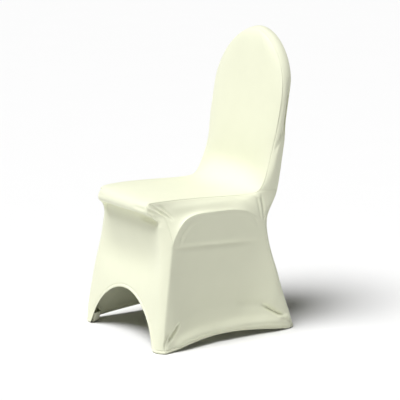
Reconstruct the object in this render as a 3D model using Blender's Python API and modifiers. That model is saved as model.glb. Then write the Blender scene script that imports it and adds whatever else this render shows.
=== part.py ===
"""A fitted stretch cover for a banquet chair, modelled hollow, as it stands when the chair is inside.

Units are metres, +Z is up, the front of the seat looks along -Y and the floor is Z = 0.
Four cloth panels meet at their seams and four foot pockets stand inside the bottom corners.
"""

import math
from collections import namedtuple

import bmesh
import bpy
import numpy as np

COLLECTION = "banquet_chair_cover"

# Cloth
CLOTH = 0.0015
SEAM_SETBACK = 0.00022
HEM_CLEARANCE = 0.001

# Leg frame under the cloth: outer width at the floor, lean of its faces, height of its shoulder
FLOOR_HALF_WIDTH = 0.227
SIDE_TAPER = 0.0787
FRONT_FLOOR_Y = -0.2636
FRONT_LEAN = 0.1225
SHOULDER_HEIGHT = 0.335
LEG_FRONT_TOP = 0.388

# Front arch
ARCH_HALF_WIDTH = 0.176
ARCH_RISE = 0.158
ARCH_POINT = 1.28

# Backrest: front plane, thickness and rounded crown
BACK_FRONT_Y = 0.163
BACK_BASE_HEIGHT = 0.45
BACK_LEAN = 0.158
BACK_THICKNESS = 0.050
CROWN_BASE = 0.73
CROWN_RISE = 0.20
CROWN_HALF_WIDTH = 0.181
CROWN_POINT = 1.17
CROWN_STOP = 82.0
BASE_LIFT = 0.030
SIDE_BULGE = 0.005
REAR_EDGE_DROP = 0.002

# Rear hem
REAR_HEM_RISE = 0.026
REAR_HEM_INSET = 0.022

# Foot pockets
POCKET_HEIGHT = 0.032
LEG_SPACE = 0.024
POCKET_GAP = 0.0005
POCKET_STEPS = 7

# Rows and columns of the cloth
APRON_ROWS = 11
CUSHION_ROWS = 5
SEAT_ROWS = 9
STRAIGHT_ROWS = 6
CROWN_ROWS = 7
HALF_COLUMNS = 10
LEG_COLUMN = 7
STRIP_COLUMNS = 3
RELAX_ROUNDS = 900

BACK_ROWS = STRAIGHT_ROWS + CROWN_ROWS
SEAT_START = APRON_ROWS + CUSHION_ROWS
BACK_START = SEAT_START + SEAT_ROWS

LegRow = namedtuple("LegRow", "height front_radius rear_edge rear_radius")
LEGS = (
    LegRow(0.000, 0.048, 0.258, 0.034),
    LegRow(0.040, 0.047, 0.247, 0.032),
    LegRow(0.080, 0.046, 0.232, 0.029),
    LegRow(0.125, 0.044, 0.216, 0.026),
    LegRow(0.180, 0.040, 0.199, 0.022),
    LegRow(0.236, 0.036, 0.182, 0.018),
    LegRow(0.317, 0.032, 0.163, 0.015),
    LegRow(0.400, 0.032, 0.152, 0.014),
)

# Frame arch under the side cloth, from the front shoulder to the rear one
ArchRow = namedtuple("ArchRow", "along y z")
SIDE_ARCH = (
    ArchRow(0.00, -0.190, 0.335),
    ArchRow(0.07, -0.184, 0.359),
    ArchRow(0.14, -0.171, 0.381),
    ArchRow(0.22, -0.152, 0.399),
    ArchRow(0.33, -0.121, 0.411),
    ArchRow(0.52, -0.041, 0.410),
    ArchRow(0.70, 0.033, 0.407),
    ArchRow(0.85, 0.090, 0.391),
    ArchRow(0.94, 0.120, 0.371),
    ArchRow(1.00, 0.137, 0.352),
)

# Seam from the front shoulder up to the front corner of the seat, before the cloth is relaxed
CornerRow = namedtuple("CornerRow", "step x y z")
CORNER_SEAM = (
    CornerRow(0, 0.2006, -0.1900, 0.335),
    CornerRow(1, 0.1940, -0.2030, 0.363),
    CornerRow(2, 0.1830, -0.2180, 0.391),
    CornerRow(3, 0.1680, -0.2330, 0.417),
    CornerRow(4, 0.1500, -0.2460, 0.438),
    CornerRow(5, 0.1320, -0.2560, 0.4515),
)

# Section of the cushion front, from the crease under it to the seat
CushionRow = namedtuple("CushionRow", "step y z half_width")
CUSHION_FRONT = (
    CushionRow(0, -0.2220, 0.394, 0.166),
    CushionRow(1, -0.2400, 0.401, 0.168),
    CushionRow(2, -0.2580, 0.412, 0.168),
    CushionRow(3, -0.2660, 0.428, 0.166),
    CushionRow(4, -0.2620, 0.445, 0.158),
    CushionRow(5, -0.2440, 0.457, 0.140),
)
CORNER_ROUNDING = 0.014

# Seat from the cushion front to the foot of the backrest
SeatRow = namedtuple("SeatRow", "along middle_y middle_z seam_x seam_y seam_z")
SEAT = (
    SeatRow(0.00, -0.2440, 0.457, 0.132, -0.256, 0.4515),
    SeatRow(0.10, -0.2050, 0.462, 0.147, -0.226, 0.4545),
    SeatRow(0.25, -0.1500, 0.465, 0.151, -0.165, 0.4545),
    SeatRow(0.50, -0.0500, 0.463, 0.154, -0.055, 0.4490),
    SeatRow(0.75, 0.0450, 0.457, 0.156, 0.045, 0.4420),
    SeatRow(0.90, 0.1060, 0.460, 0.160, 0.106, 0.4390),
    SeatRow(1.00, 0.1430, 0.479, 0.174, 0.143, 0.4410),
)

# Backrest front: how far the middle swells forward and the side seam lies behind the front plane
BackRow = namedtuple("BackRow", "height swell seam_back half_width")
BACKREST = (
    BackRow(0.441, 0.000, -0.0186, 0.1770),
    BackRow(0.485, 0.003, -0.0095, 0.1795),
    BackRow(0.530, 0.006, -0.0050, 0.1795),
    BackRow(0.600, 0.007, -0.0010, 0.1800),
    BackRow(0.680, 0.004, 0.0070, 0.1812),
    BackRow(0.760, 0.002, 0.0120, 0.1815),
    BackRow(0.930, 0.002, 0.0120, 0.1815),
)

# Seam between the back panel and the side panel, from the seat down to the rear shoulder
RearRow = namedtuple("RearRow", "step x y z middle_y middle_z")
REAR_SEAM = (
    RearRow(0, 0.1770, 0.2090, 0.441, 0.212, 0.441),
    RearRow(1, 0.1810, 0.2010, 0.423, 0.209, 0.423),
    RearRow(2, 0.1860, 0.1860, 0.404, 0.202, 0.404),
    RearRow(3, 0.1905, 0.1690, 0.386, 0.197, 0.386),
    RearRow(4, 0.1955, 0.1530, 0.369, 0.192, 0.368),
    RearRow(5, 0.1993, 0.1440, 0.352, 0.188, 0.350),
)

# Side hem: how far it is drawn in and lifted between the two feet
HemRow = namedtuple("HemRow", "along inset rise")
SIDE_HEM = (
    HemRow(0.00, 0.000, 0.001),
    HemRow(0.06, 0.003, 0.004),
    HemRow(0.15, 0.010, 0.009),
    HemRow(0.30, 0.020, 0.017),
    HemRow(0.50, 0.027, 0.023),
    HemRow(0.68, 0.021, 0.017),
    HemRow(0.85, 0.009, 0.009),
    HemRow(0.94, 0.003, 0.004),
    HemRow(1.00, 0.000, 0.001),
)

# Main folds, each a soft trough (depth above 0) or ridge (below 0) between two points of the surface
Fold = namedtuple("Fold", "start end depth width")
FOLDS = (
    Fold((0.105, -0.262, 0.412), (0.186, -0.196, 0.402), 0.0030, 0.011),
    Fold((0.100, -0.232, 0.396), (0.192, -0.204, 0.372), 0.0035, 0.012),
    Fold((-0.120, -0.262, 0.420), (-0.186, -0.200, 0.400), 0.0025, 0.011),
    Fold((0.172, 0.118, 0.438), (0.196, 0.132, 0.385), 0.0025, 0.011),
    Fold((-0.172, 0.125, 0.436), (-0.196, 0.134, 0.388), 0.0025, 0.011),
    Fold((0.205, -0.180, 0.305), (0.202, 0.110, 0.292), 0.0016, 0.014),
    Fold((0.210, 0.140, 0.130), (0.212, 0.200, 0.075), 0.0020, 0.012),
    Fold((0.210, -0.160, 0.120), (0.216, -0.196, 0.065), 0.0016, 0.010),
)

Finish = namedtuple("Finish", "name colour roughness")
KNIT = Finish("ivory_stretch_knit", (0.84, 0.83, 0.68, 1.0), 0.78)
POCKET_KNIT = Finish("ivory_pocket_cloth", (0.70, 0.70, 0.58, 1.0), 0.85)


Patch = namedtuple("Patch", "grid fixed flip")


def read(table, column, at):
    """Smooth value of a table's column at a position along its first column."""
    keys = np.array([row[0] for row in table], dtype=float)
    values = np.array([getattr(row, column) for row in table], dtype=float)
    slopes = np.gradient(values, keys)
    low = int(np.clip(np.searchsorted(keys, at) - 1, 0, len(keys) - 2))
    span = keys[low + 1] - keys[low]
    u = min(max((at - keys[low]) / span, 0.0), 1.0)
    start = values[low] * (2 * u**3 - 3 * u**2 + 1) + slopes[low] * span * (u**3 - 2 * u**2 + u)
    end = values[low + 1] * (3 * u**2 - 2 * u**3) + slopes[low + 1] * span * (u**3 - u**2)
    return float(start + end)


def mix(first, second, share):
    """Point or number between two others."""
    return first + (second - first) * share


def side_x(height):
    """Half width of the leg frame at a height."""
    return FLOOR_HALF_WIDTH - SIDE_TAPER * height


def front_y(height):
    """Front plane of the leg frame at a height."""
    return FRONT_FLOOR_Y + FRONT_LEAN * height


def front_leg(height, turn):
    """Point on the rounded front leg: turn 0 on its front, 1 on its side."""
    radius = read(LEGS, "front_radius", height)
    angle = turn * math.pi / 2
    x = side_x(height) - radius + radius * math.sin(angle)
    y = front_y(height) + radius - radius * math.cos(angle)
    return np.array([x, y, height])


def rear_leg(height, turn):
    """Point on the rounded rear leg: turn 0 on its rear, 1 on its side."""
    radius = read(LEGS, "rear_radius", height)
    angle = turn * math.pi / 2
    x = side_x(height) - radius + radius * math.sin(angle)
    y = read(LEGS, "rear_edge", height) - radius + radius * math.cos(angle)
    return np.array([x, y, height])


def leg_turn(column):
    """Share of the quarter turn round a leg at a column of the half panel."""
    return (column - LEG_COLUMN) / (HALF_COLUMNS - LEG_COLUMN)


def spread(column):
    """Share of the half width at a column, closer together near the edge."""
    return math.sin(math.pi / 2 * column / HALF_COLUMNS)


def mirror_half(half):
    """Full-width grid from the columns of its right half."""
    left = half[:, :0:-1] * np.array([-1.0, 1.0, 1.0])
    return np.concatenate([left, half], axis=1)


def apron_half():
    """Right half of the apron: rows from the arched hem up to the crease under the cushion."""
    grid = np.zeros((APRON_ROWS + 1, HALF_COLUMNS + 1, 3))
    for column in range(HALF_COLUMNS + 1):
        if column >= LEG_COLUMN:
            turn = leg_turn(column)
            top = mix(LEG_FRONT_TOP, SHOULDER_HEIGHT, turn)
            for row in range(APRON_ROWS + 1):
                grid[row, column] = front_leg(mix(HEM_CLEARANCE, top, row / APRON_ROWS), turn)
            continue
        angle = math.pi / 2 * column / LEG_COLUMN
        rise = max(ARCH_RISE * math.cos(angle) ** ARCH_POINT, HEM_CLEARANCE)
        hem = np.array([ARCH_HALF_WIDTH * math.sin(angle), front_y(rise), rise])
        share = column / LEG_COLUMN
        crease = cushion_point(0, share * 0.98)
        for row in range(APRON_ROWS + 1):
            grid[row, column] = mix(hem, crease, row / APRON_ROWS)
    return grid


def cushion_point(step, share):
    """Point of the cushion front at a step of its section and a share of its half width."""
    half_width = read(CUSHION_FRONT, "half_width", step)
    y = read(CUSHION_FRONT, "y", step) + CORNER_ROUNDING * share**6
    return np.array([half_width * share, y, read(CUSHION_FRONT, "z", step)])


def cushion_half():
    """Right half of the cushion front, above its crease."""
    grid = np.zeros((CUSHION_ROWS, HALF_COLUMNS + 1, 3))
    for row in range(CUSHION_ROWS):
        step = row + 1
        seam = np.array([read(CORNER_SEAM, axis, step) for axis in "xyz"])
        for column in range(HALF_COLUMNS + 1):
            share = spread(column)
            grid[row, column] = mix(cushion_point(step, share), seam, share**8)
    return grid


def seat_half():
    """Right half of the seat, crowned across and falling to the side seam."""
    grid = np.zeros((SEAT_ROWS, HALF_COLUMNS + 1, 3))
    for row in range(SEAT_ROWS):
        along = (row + 1) / SEAT_ROWS
        middle = np.array([0.0, read(SEAT, "middle_y", along), read(SEAT, "middle_z", along)])
        seam = np.array([read(SEAT, "seam_" + axis, along) for axis in "xyz"])
        for column in range(HALF_COLUMNS + 1):
            share = spread(column)
            crown = (1.0 - share**3) ** 0.6
            x = seam[0] * share
            y = mix(middle[1], seam[1], share**4)
            z = mix(seam[2], middle[2], crown)
            grid[row, column] = (x, y, z)
    return grid


def outline(row):
    """Half width and height of the backrest outline at a row above the seat."""
    if row <= STRAIGHT_ROWS:
        height = mix(BACKREST[0].height, CROWN_BASE, row / STRAIGHT_ROWS)
        return read(BACKREST, "half_width", height), height
    angle = math.radians(CROWN_STOP) * (row - STRAIGHT_ROWS) / CROWN_ROWS
    return CROWN_HALF_WIDTH * math.cos(angle) ** CROWN_POINT, CROWN_BASE + CROWN_RISE * math.sin(angle)


def crown_height(x):
    """Height of the crown outline at a distance from the middle."""
    angle = math.acos(min(abs(x) / CROWN_HALF_WIDTH, 1.0) ** (1 / CROWN_POINT))
    return CROWN_BASE + CROWN_RISE * math.sin(angle)


def back_plane(height):
    """Front plane of the backrest at a height."""
    return BACK_FRONT_Y + BACK_LEAN * (height - BACK_BASE_HEIGHT)


def backrest_half(rear):
    """Right half of the front or the rear face of the backrest, from the seat up to the crown."""
    first_row = 0 if rear else 1
    grid = np.zeros((BACK_ROWS + 1 - first_row, HALF_COLUMNS + 1, 3))
    for row in range(first_row, BACK_ROWS + 1):
        half_width, height = outline(row)
        for column in range(HALF_COLUMNS + 1):
            share = spread(column)
            x = half_width * share
            z = crown_height(x) if row == BACK_ROWS else height
            if rear:
                y = back_plane(z) + BACK_THICKNESS - REAR_EDGE_DROP * edge_share(row, share)
            else:
                z += BASE_LIFT * max(0.0, 1 - row / STRAIGHT_ROWS) ** 2 * (1 - share**4)
                swell = read(BACKREST, "swell", z)
                seam_back = read(BACKREST, "seam_back", z)
                y = back_plane(z) - swell + (swell + seam_back) * edge_share(row, share)
            grid[row - first_row, column] = (x, y, z)
    return grid


def edge_share(row, share):
    """How near a point of the backrest is to its outline, 0 in the middle and 1 on the outline."""
    across = share**5
    crown = max(0.0, (row - STRAIGHT_ROWS) / CROWN_ROWS) ** 5
    return max(across, crown)


def front_panel():
    """Grid of the panel that runs from the front hem over the seat and up to the crown."""
    half = np.concatenate([apron_half(), cushion_half(), seat_half(), backrest_half(False)])
    grid = mirror_half(half)
    fixed = np.zeros(grid.shape[:2], dtype=bool)
    fixed[0] = True
    fixed[SEAT_START:] = True
    fixed[:, 0] = True
    fixed[:, -1] = True
    fixed[:APRON_ROWS, :HALF_COLUMNS - LEG_COLUMN + 1] = True
    fixed[:APRON_ROWS, HALF_COLUMNS + LEG_COLUMN:] = True
    fixed[APRON_ROWS:SEAT_START, [0, -1]] = False
    fixed[APRON_ROWS, [0, -1]] = True
    inner = slice(HALF_COLUMNS - LEG_COLUMN + 1, HALF_COLUMNS + LEG_COLUMN)
    fixed[APRON_ROWS:SEAT_START, inner] = True
    return Patch(grid, fixed, False)


def rear_panel():
    """Grid of the rear face from the rear hem up to the crown, without the backrest's thickness."""
    lower = np.zeros((SEAT_START, HALF_COLUMNS + 1, 3))
    for row in range(SEAT_START):
        for column in range(HALF_COLUMNS + 1):
            lower[row, column] = rear_lower_point(row, column)
    grid = mirror_half(np.concatenate([lower, backrest_half(True)]))
    fixed = np.zeros(grid.shape[:2], dtype=bool)
    fixed[0] = True
    fixed[SEAT_START:] = True
    fixed[:, 0] = True
    fixed[:, -1] = True
    fixed[:APRON_ROWS, :HALF_COLUMNS - LEG_COLUMN + 1] = True
    fixed[:APRON_ROWS, HALF_COLUMNS + LEG_COLUMN:] = True
    return Patch(grid, fixed, True)


def rear_lower_point(row, column):
    """First place of a point of the lower rear, before the cloth is relaxed."""
    if row >= APRON_ROWS:
        step = SEAT_START - row
        seam = np.array([read(REAR_SEAM, axis, step) for axis in "xyz"])
        middle = np.array([0.0, read(REAR_SEAM, "middle_y", step), read(REAR_SEAM, "middle_z", step)])
        share = spread(column)
        point = mix(middle, seam, share**3)
        point[0] = seam[0] * share
        return point
    up = row / APRON_ROWS
    if column >= LEG_COLUMN:
        shoulder = REAR_SEAM[-1].z
        return rear_leg(mix(HEM_CLEARANCE, shoulder, up), leg_turn(column))
    angle = math.pi / 2 * column / LEG_COLUMN
    foot = rear_leg(HEM_CLEARANCE, 0.0)
    drawn = math.cos(angle) ** 1.5
    hem = np.array([
        foot[0] * column / LEG_COLUMN,
        foot[1] - REAR_HEM_INSET * drawn,
        max(HEM_CLEARANCE, REAR_HEM_RISE * drawn),
    ])
    top = np.array([foot[0] * 0.85 * column / LEG_COLUMN, REAR_SEAM[-1].middle_y, REAR_SEAM[-1].middle_z])
    return mix(hem, top, up)


def strip_grid(front, rear):
    """Cloth round the thickness of the backrest: one row for each point of the outline."""
    front_edge = edge_loop(front[BACK_START:])
    rear_edge = edge_loop(rear[SEAT_START:])
    grid = np.zeros((len(front_edge), STRIP_COLUMNS + 1, 3))
    tangents = np.gradient(front_edge, axis=0)
    for row, tangent in enumerate(tangents):
        outward = np.array([tangent[2], 0.0, -tangent[0]])
        outward /= np.linalg.norm(outward)
        for column in range(STRIP_COLUMNS + 1):
            share = column / STRIP_COLUMNS
            bulge = SIDE_BULGE * math.sin(math.pi * share)
            grid[row, column] = mix(front_edge[row], rear_edge[row], share) + outward * bulge
    return Patch(grid, np.ones(grid.shape[:2], dtype=bool), False)


def edge_loop(face):
    """Outline of a backrest face: up its right edge, over the crown, down its left edge."""
    right = face[:, -1]
    top = face[-1, -2:0:-1]
    left = face[::-1, 0]
    return np.concatenate([right, top, left])


def side_panel(front, rear, strip, side):
    """Grid of a side panel: rows from the seat seam down to the hem, columns from front to rear."""
    edge = -1 if side > 0 else 0
    rows = SEAT_START + 1
    columns = SEAT_ROWS + STRIP_COLUMNS + 1
    grid = np.zeros((rows, columns, 3))
    strip_end = strip[0] if side > 0 else strip[-1]
    grid[0, :SEAT_ROWS + 1] = front[SEAT_START:BACK_START + 1, edge]
    grid[0, SEAT_ROWS:] = strip_end
    grid[:, 0] = front[SEAT_START::-1, edge]
    grid[:, -1] = rear[SEAT_START::-1, edge]
    for column in range(1, columns - 1):
        along = column / (columns - 1)
        height = read(SIDE_ARCH, "z", along)
        arch = np.array([side * side_x(height), read(SIDE_ARCH, "y", along), height])
        foot = mix(grid[-1, 0], grid[-1, -1], along)
        inset = read(SIDE_HEM, "inset", along)
        hem = np.array([foot[0] - side * inset, foot[1], read(SIDE_HEM, "rise", along)])
        for row in range(1, rows):
            if row <= CUSHION_ROWS:
                grid[row, column] = mix(grid[0, column], arch, row / CUSHION_ROWS)
            else:
                grid[row, column] = mix(arch, hem, (row - CUSHION_ROWS) / APRON_ROWS)
    fixed = np.zeros((rows, columns), dtype=bool)
    fixed[[0, CUSHION_ROWS, -1]] = True
    fixed[:, [0, -1]] = True
    fixed[1:CUSHION_ROWS, 0] = False
    return Patch(grid, fixed, side > 0)


def fold_points(points, normals):
    """Press the main folds into the cloth, along its normals."""
    moved = points.copy()
    for fold in FOLDS:
        start = np.array(fold.start)
        run = np.array(fold.end) - start
        along = np.clip((points - start) @ run / (run @ run), 0.0, 1.0)
        away = np.linalg.norm(points - (start + along[:, None] * run), axis=1)
        fade = np.sin(np.pi * np.clip(along, 0.08, 0.92))
        depth = fold.depth * np.exp(-((away / fold.width) ** 2)) * fade
        moved -= normals * depth[:, None]
    return moved


def grid_faces(index, flip):
    """Quads of a grid of vertex numbers, turned over where flip is set."""
    quads = []
    for row in range(index.shape[0] - 1):
        for column in range(index.shape[1] - 1):
            quad = [
                index[row, column],
                index[row, column + 1],
                index[row + 1, column + 1],
                index[row + 1, column],
            ]
            quads.append(quad[::-1] if flip else quad)
    return quads


def weld(panels):
    """Number the points of all patches, one number for points that coincide."""
    numbers = {}
    points = []
    held = []
    quads = {}
    for name, patches in panels.items():
        quads[name] = []
        for patch in patches:
            index = np.zeros(patch.grid.shape[:2], dtype=int)
            for place in np.ndindex(index.shape):
                key = tuple(np.round(patch.grid[place], 6))
                if key not in numbers:
                    numbers[key] = len(points)
                    points.append(patch.grid[place])
                    held.append(False)
                index[place] = numbers[key]
                held[numbers[key]] |= bool(patch.fixed[place])
            quads[name] += grid_faces(index, patch.flip)
    return np.array(points), np.array(held), quads


def relax(points, held, quads):
    """Let the free points of the cloth take the shape of a stretched membrane."""
    corners = np.array(quads)
    pairs = np.concatenate([corners[:, [0, 1]], corners[:, [1, 2]], corners[:, [2, 3]], corners[:, [3, 0]]])
    pairs = np.unique(np.sort(pairs, axis=1), axis=0)
    starts = np.concatenate([pairs[:, 0], pairs[:, 1]])
    ends = np.concatenate([pairs[:, 1], pairs[:, 0]])
    degree = np.bincount(starts, minlength=len(points))
    free = ~held
    for _ in range(RELAX_ROUNDS):
        for axis in range(3):
            total = np.bincount(starts, weights=points[ends, axis], minlength=len(points))
            points[free, axis] = total[free] / degree[free]
    return points


def face_normals(points, quads):
    """Unit normals of quads."""
    corners = points[np.array(quads)]
    normals = np.cross(corners[:, 2] - corners[:, 0], corners[:, 3] - corners[:, 1])
    return normals / np.linalg.norm(normals, axis=1)[:, None]


def vertex_normals(points, quads):
    """Mean unit normal at each vertex, lengthened so that an offset keeps the cloth's thickness."""
    faces = face_normals(points, quads)
    total = np.zeros_like(points)
    for corner in range(4):
        np.add.at(total, np.array(quads)[:, corner], faces)
    unit = total / np.linalg.norm(total, axis=1)[:, None]
    nearest = np.ones(len(points))
    for corner in range(4):
        numbers = np.array(quads)[:, corner]
        np.minimum.at(nearest, numbers, np.sum(unit[numbers] * faces, axis=1))
    return unit, unit / np.maximum(nearest, 0.7)[:, None]


def border_edges(quads):
    """Directed edges that only one quad uses."""
    edges = {}
    for quad in quads:
        for start, end in zip(quad, quad[1:] + quad[:1]):
            edges[(start, end)] = quad
    return {edge: quad for edge, quad in edges.items() if edge[::-1] not in edges}


def setback(points, quads, borders):
    """Shift of each border vertex into its own panel, which opens the gap at the seams."""
    shift = np.zeros_like(points)
    for (start, end), quad in borders.items():
        normal = face_normals(points, [quad])[0]
        inward = np.cross(normal, points[end] - points[start])
        inward /= np.linalg.norm(inward)
        shift[start] += inward
        shift[end] += inward
    length = np.linalg.norm(shift, axis=1)
    moved = length > 0
    shift[moved] *= (SEAM_SETBACK / length[moved])[:, None] * (2.0 / np.maximum(length[moved], 1.0))[:, None]
    return shift


def panel_mesh(name, points, thickness, quads):
    """Closed solid of one panel: outer face, inner face and the rim between them."""
    borders = border_edges(quads)
    shift = setback(points, quads, borders)
    used = sorted({number for quad in quads for number in quad})
    mesh_edit = bmesh.new()
    outer = {}
    inner = {}
    for number in used:
        place = points[number] + shift[number]
        outer[number] = mesh_edit.verts.new(place)
        inner[number] = mesh_edit.verts.new(place - CLOTH * thickness[number])
    for quad in quads:
        mesh_edit.faces.new([outer[number] for number in quad])
        mesh_edit.faces.new([inner[number] for number in reversed(quad)])
    for start, end in borders:
        mesh_edit.faces.new([outer[end], outer[start], inner[start], inner[end]])
    bmesh.ops.triangulate(mesh_edit, faces=mesh_edit.faces[:])
    mesh = bpy.data.meshes.new(name)
    mesh_edit.to_mesh(mesh)
    mesh_edit.free()
    mesh.shade_smooth()
    return mesh


def pocket_outline(front, side, height):
    """Closed outline of a foot pocket at a height, just inside the cloth of its corner."""
    column = "front_radius" if front else "rear_radius"
    radius = read(LEGS, column, height)
    leg = front_leg if front else rear_leg
    centre = np.array([leg(height, 0.0)[0], leg(height, 1.0)[1]])
    steps = HALF_COLUMNS - LEG_COLUMN
    facet = math.cos(math.pi / 4 / steps)
    outer = radius - (CLOTH + POCKET_GAP) / facet
    points = [centre + (leg(height, step / steps)[:2] - centre) * outer / radius for step in range(steps + 1)]
    chord = points[0] - points[-1]
    inward = centre - (points[0] + points[-1]) / 2
    inward /= np.linalg.norm(inward)
    depth = LEG_SPACE + 2 * CLOTH - outer * (1 - math.cos(math.pi / 4))
    for step in range(1, POCKET_STEPS):
        share = step / POCKET_STEPS
        bulge = depth * math.sin(math.pi * share) ** 0.7
        points.append(points[steps] + chord * share + inward * bulge)
    outline_points = np.array(points)
    outline_points[:, 0] *= side
    return outline_points


def pocket_object(name, front, side, shift_y):
    """One foot pocket: an open cup with a flat underside, thickened inward."""
    mesh_edit = bmesh.new()
    heights = (0.0, POCKET_HEIGHT)
    rings = []
    for height in heights:
        outline_points = pocket_outline(front, side, height)
        rings.append([mesh_edit.verts.new((x, y + shift_y, height)) for x, y in outline_points])
    count = len(rings[0])
    for lower, upper in zip(rings, rings[1:]):
        for place in range(count):
            following = (place + 1) % count
            mesh_edit.faces.new([lower[place], lower[following], upper[following], upper[place]])
    mesh_edit.faces.new(rings[0][::-1])
    mesh = bpy.data.meshes.new(name)
    mesh_edit.to_mesh(mesh)
    mesh_edit.free()
    if mesh.polygons[-1].normal.z > 0:
        mesh.flip_normals()
    pocket = bpy.data.objects.new(name, mesh)
    wall = pocket.modifiers.new("cloth", "SOLIDIFY")
    wall.thickness = CLOTH
    wall.offset = -1.0
    wall.use_even_offset = True
    return pocket


def material(finish):
    """Principled material for a finish."""
    made = bpy.data.materials.new(finish.name)
    made.use_nodes = True
    shader = made.node_tree.nodes["Principled BSDF"]
    shader.inputs["Base Color"].default_value = finish.colour
    shader.inputs["Roughness"].default_value = finish.roughness
    shader.inputs["Metallic"].default_value = 0.0
    return made


def clear_scene():
    """Remove whatever objects the scene holds."""
    for item in list(bpy.data.objects):
        bpy.data.objects.remove(item, do_unlink=True)


def main():
    clear_scene()
    collection = bpy.data.collections.new(COLLECTION)
    bpy.context.scene.collection.children.link(collection)

    front = front_panel()
    rear = rear_panel()
    strip = strip_grid(front.grid, rear.grid)
    panels = {
        "front_and_seat_panel": [front],
        "back_panel": [rear, strip],
        "side_panel_right": [side_panel(front.grid, rear.grid, strip.grid, 1)],
        "side_panel_left": [side_panel(front.grid, rear.grid, strip.grid, -1)],
    }
    points, held, quads = weld(panels)
    every_quad = [quad for panel_quads in quads.values() for quad in panel_quads]
    points = relax(points, held, every_quad)
    unit, _ = vertex_normals(points, every_quad)
    points = fold_points(points, unit)
    shift_y = -(points[:, 1].min() + points[:, 1].max()) / 2
    points[:, 1] += shift_y
    _, thickness = vertex_normals(points, every_quad)

    knit = material(KNIT)
    for name, panel_quads in quads.items():
        panel = bpy.data.objects.new(name, panel_mesh(name, points, thickness, panel_quads))
        panel.data.materials.append(knit)
        collection.objects.link(panel)

    pocket_cloth = material(POCKET_KNIT)
    for end, front_end in (("front", True), ("rear", False)):
        for hand, side in (("right", 1), ("left", -1)):
            pocket = pocket_object(f"foot_pocket_{end}_{hand}", front_end, side, shift_y)
            pocket.data.materials.append(pocket_cloth)
            collection.objects.link(pocket)


main()
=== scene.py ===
"""Looks of a fitted stretch cover for a banquet chair: four knit panels, four foot pockets and their sewing.

Units are metres, +Z is up, the front of the seat looks along -Y and the floor is Z = 0.
"""

from __future__ import annotations

import logging
import math
from dataclasses import dataclass, field
from enum import Enum
from typing import NamedTuple, Sequence, TypeVar

import bpy
import numpy as np
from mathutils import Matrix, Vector
from mathutils.kdtree import KDTree


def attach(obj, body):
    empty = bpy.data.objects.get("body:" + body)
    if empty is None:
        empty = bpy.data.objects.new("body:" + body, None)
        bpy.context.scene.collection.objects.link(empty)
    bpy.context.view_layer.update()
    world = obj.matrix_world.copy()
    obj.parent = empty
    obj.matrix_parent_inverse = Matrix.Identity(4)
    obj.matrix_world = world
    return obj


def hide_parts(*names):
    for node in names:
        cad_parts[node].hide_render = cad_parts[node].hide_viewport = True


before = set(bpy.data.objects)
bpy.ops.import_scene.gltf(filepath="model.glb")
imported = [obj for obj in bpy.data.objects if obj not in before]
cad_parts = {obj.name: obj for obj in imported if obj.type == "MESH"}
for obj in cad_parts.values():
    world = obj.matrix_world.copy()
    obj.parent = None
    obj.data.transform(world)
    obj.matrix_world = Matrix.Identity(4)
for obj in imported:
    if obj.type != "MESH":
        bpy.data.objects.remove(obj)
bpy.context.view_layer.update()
LOG = logging.getLogger("chair_cover")

# Points that agree to this many decimals of a metre are one point.
SAME_PLACE_DECIMALS = 6
POSITION_TOLERANCE = 1e-9
SMALLEST_LENGTH = 1e-12
SHARP_ANGLE = math.radians(55)
# Scale at which the wave texture has one band in each metre.
WAVE_SCALE = math.pi / 10

Value = TypeVar("Value", float, np.ndarray)
Colour = tuple[float, float, float]


class Hand(Enum):
    """Side of the cover, as a sign along X."""

    RIGHT = 1
    LEFT = -1


class End(Enum):
    """Front or rear of the cover."""

    FRONT = "front"
    REAR = "rear"


class LegRow(NamedTuple):
    """Width and corner radius of the front leg, edge and radius of the rear leg at a height."""

    height: float
    front_width: float
    front_corner: float
    rear_edge: float
    rear_radius: float


class ArchRow(NamedTuple):
    """Point of the frame arch under the side cloth."""

    along: float
    y: float
    z: float


class CornerRow(NamedTuple):
    """Point of the seam from the front shoulder up to the corner of the seat."""

    step: int
    x: float
    y: float
    z: float


class CushionRow(NamedTuple):
    """Point of the cushion front's section, with its half width there."""

    step: int
    y: float
    z: float
    half_width: float


class SeatRow(NamedTuple):
    """Middle and side seam of the seat at a share of its depth."""

    along: float
    middle_y: float
    middle_z: float
    seam_x: float
    seam_y: float
    seam_z: float


class BackRow(NamedTuple):
    """Swell of the backrest, setback of its side seam and its half width at a height."""

    height: float
    swell: float
    seam_back: float
    half_width: float


class RearRow(NamedTuple):
    """Point of the seam between back and side, with the middle of the back panel at that step."""

    step: int
    x: float
    y: float
    z: float
    middle_y: float
    middle_z: float


class HemRow(NamedTuple):
    """How far the side hem is drawn in and lifted between the feet."""

    along: float
    inset: float
    rise: float


def read(table: Sequence[NamedTuple], column: str, at: float) -> float:
    """Read a table smoothly between its rows.

    Args:
        table: Rows whose first field is the position.
        column: Name of the field to read.
        at: Position along the first field.

    Returns:
        The value of the field there.
    """
    keys = np.array([row[0] for row in table], dtype=float)
    values = np.array([getattr(row, column) for row in table], dtype=float)
    slopes = np.gradient(values, keys)
    low = int(np.clip(np.searchsorted(keys, at) - 1, 0, len(keys) - 2))
    span = keys[low + 1] - keys[low]
    u = min(max((at - keys[low]) / span, 0.0), 1.0)
    start = values[low] * (2 * u**3 - 3 * u**2 + 1) + slopes[low] * span * (u**3 - 2 * u**2 + u)
    end = values[low + 1] * (3 * u**2 - 2 * u**3) + slopes[low + 1] * span * (u**3 - u**2)
    return float(start + end)


def mix(first: Value, second: Value, share: float) -> Value:
    """Point or number between two others."""
    return first + (second - first) * share


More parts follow.
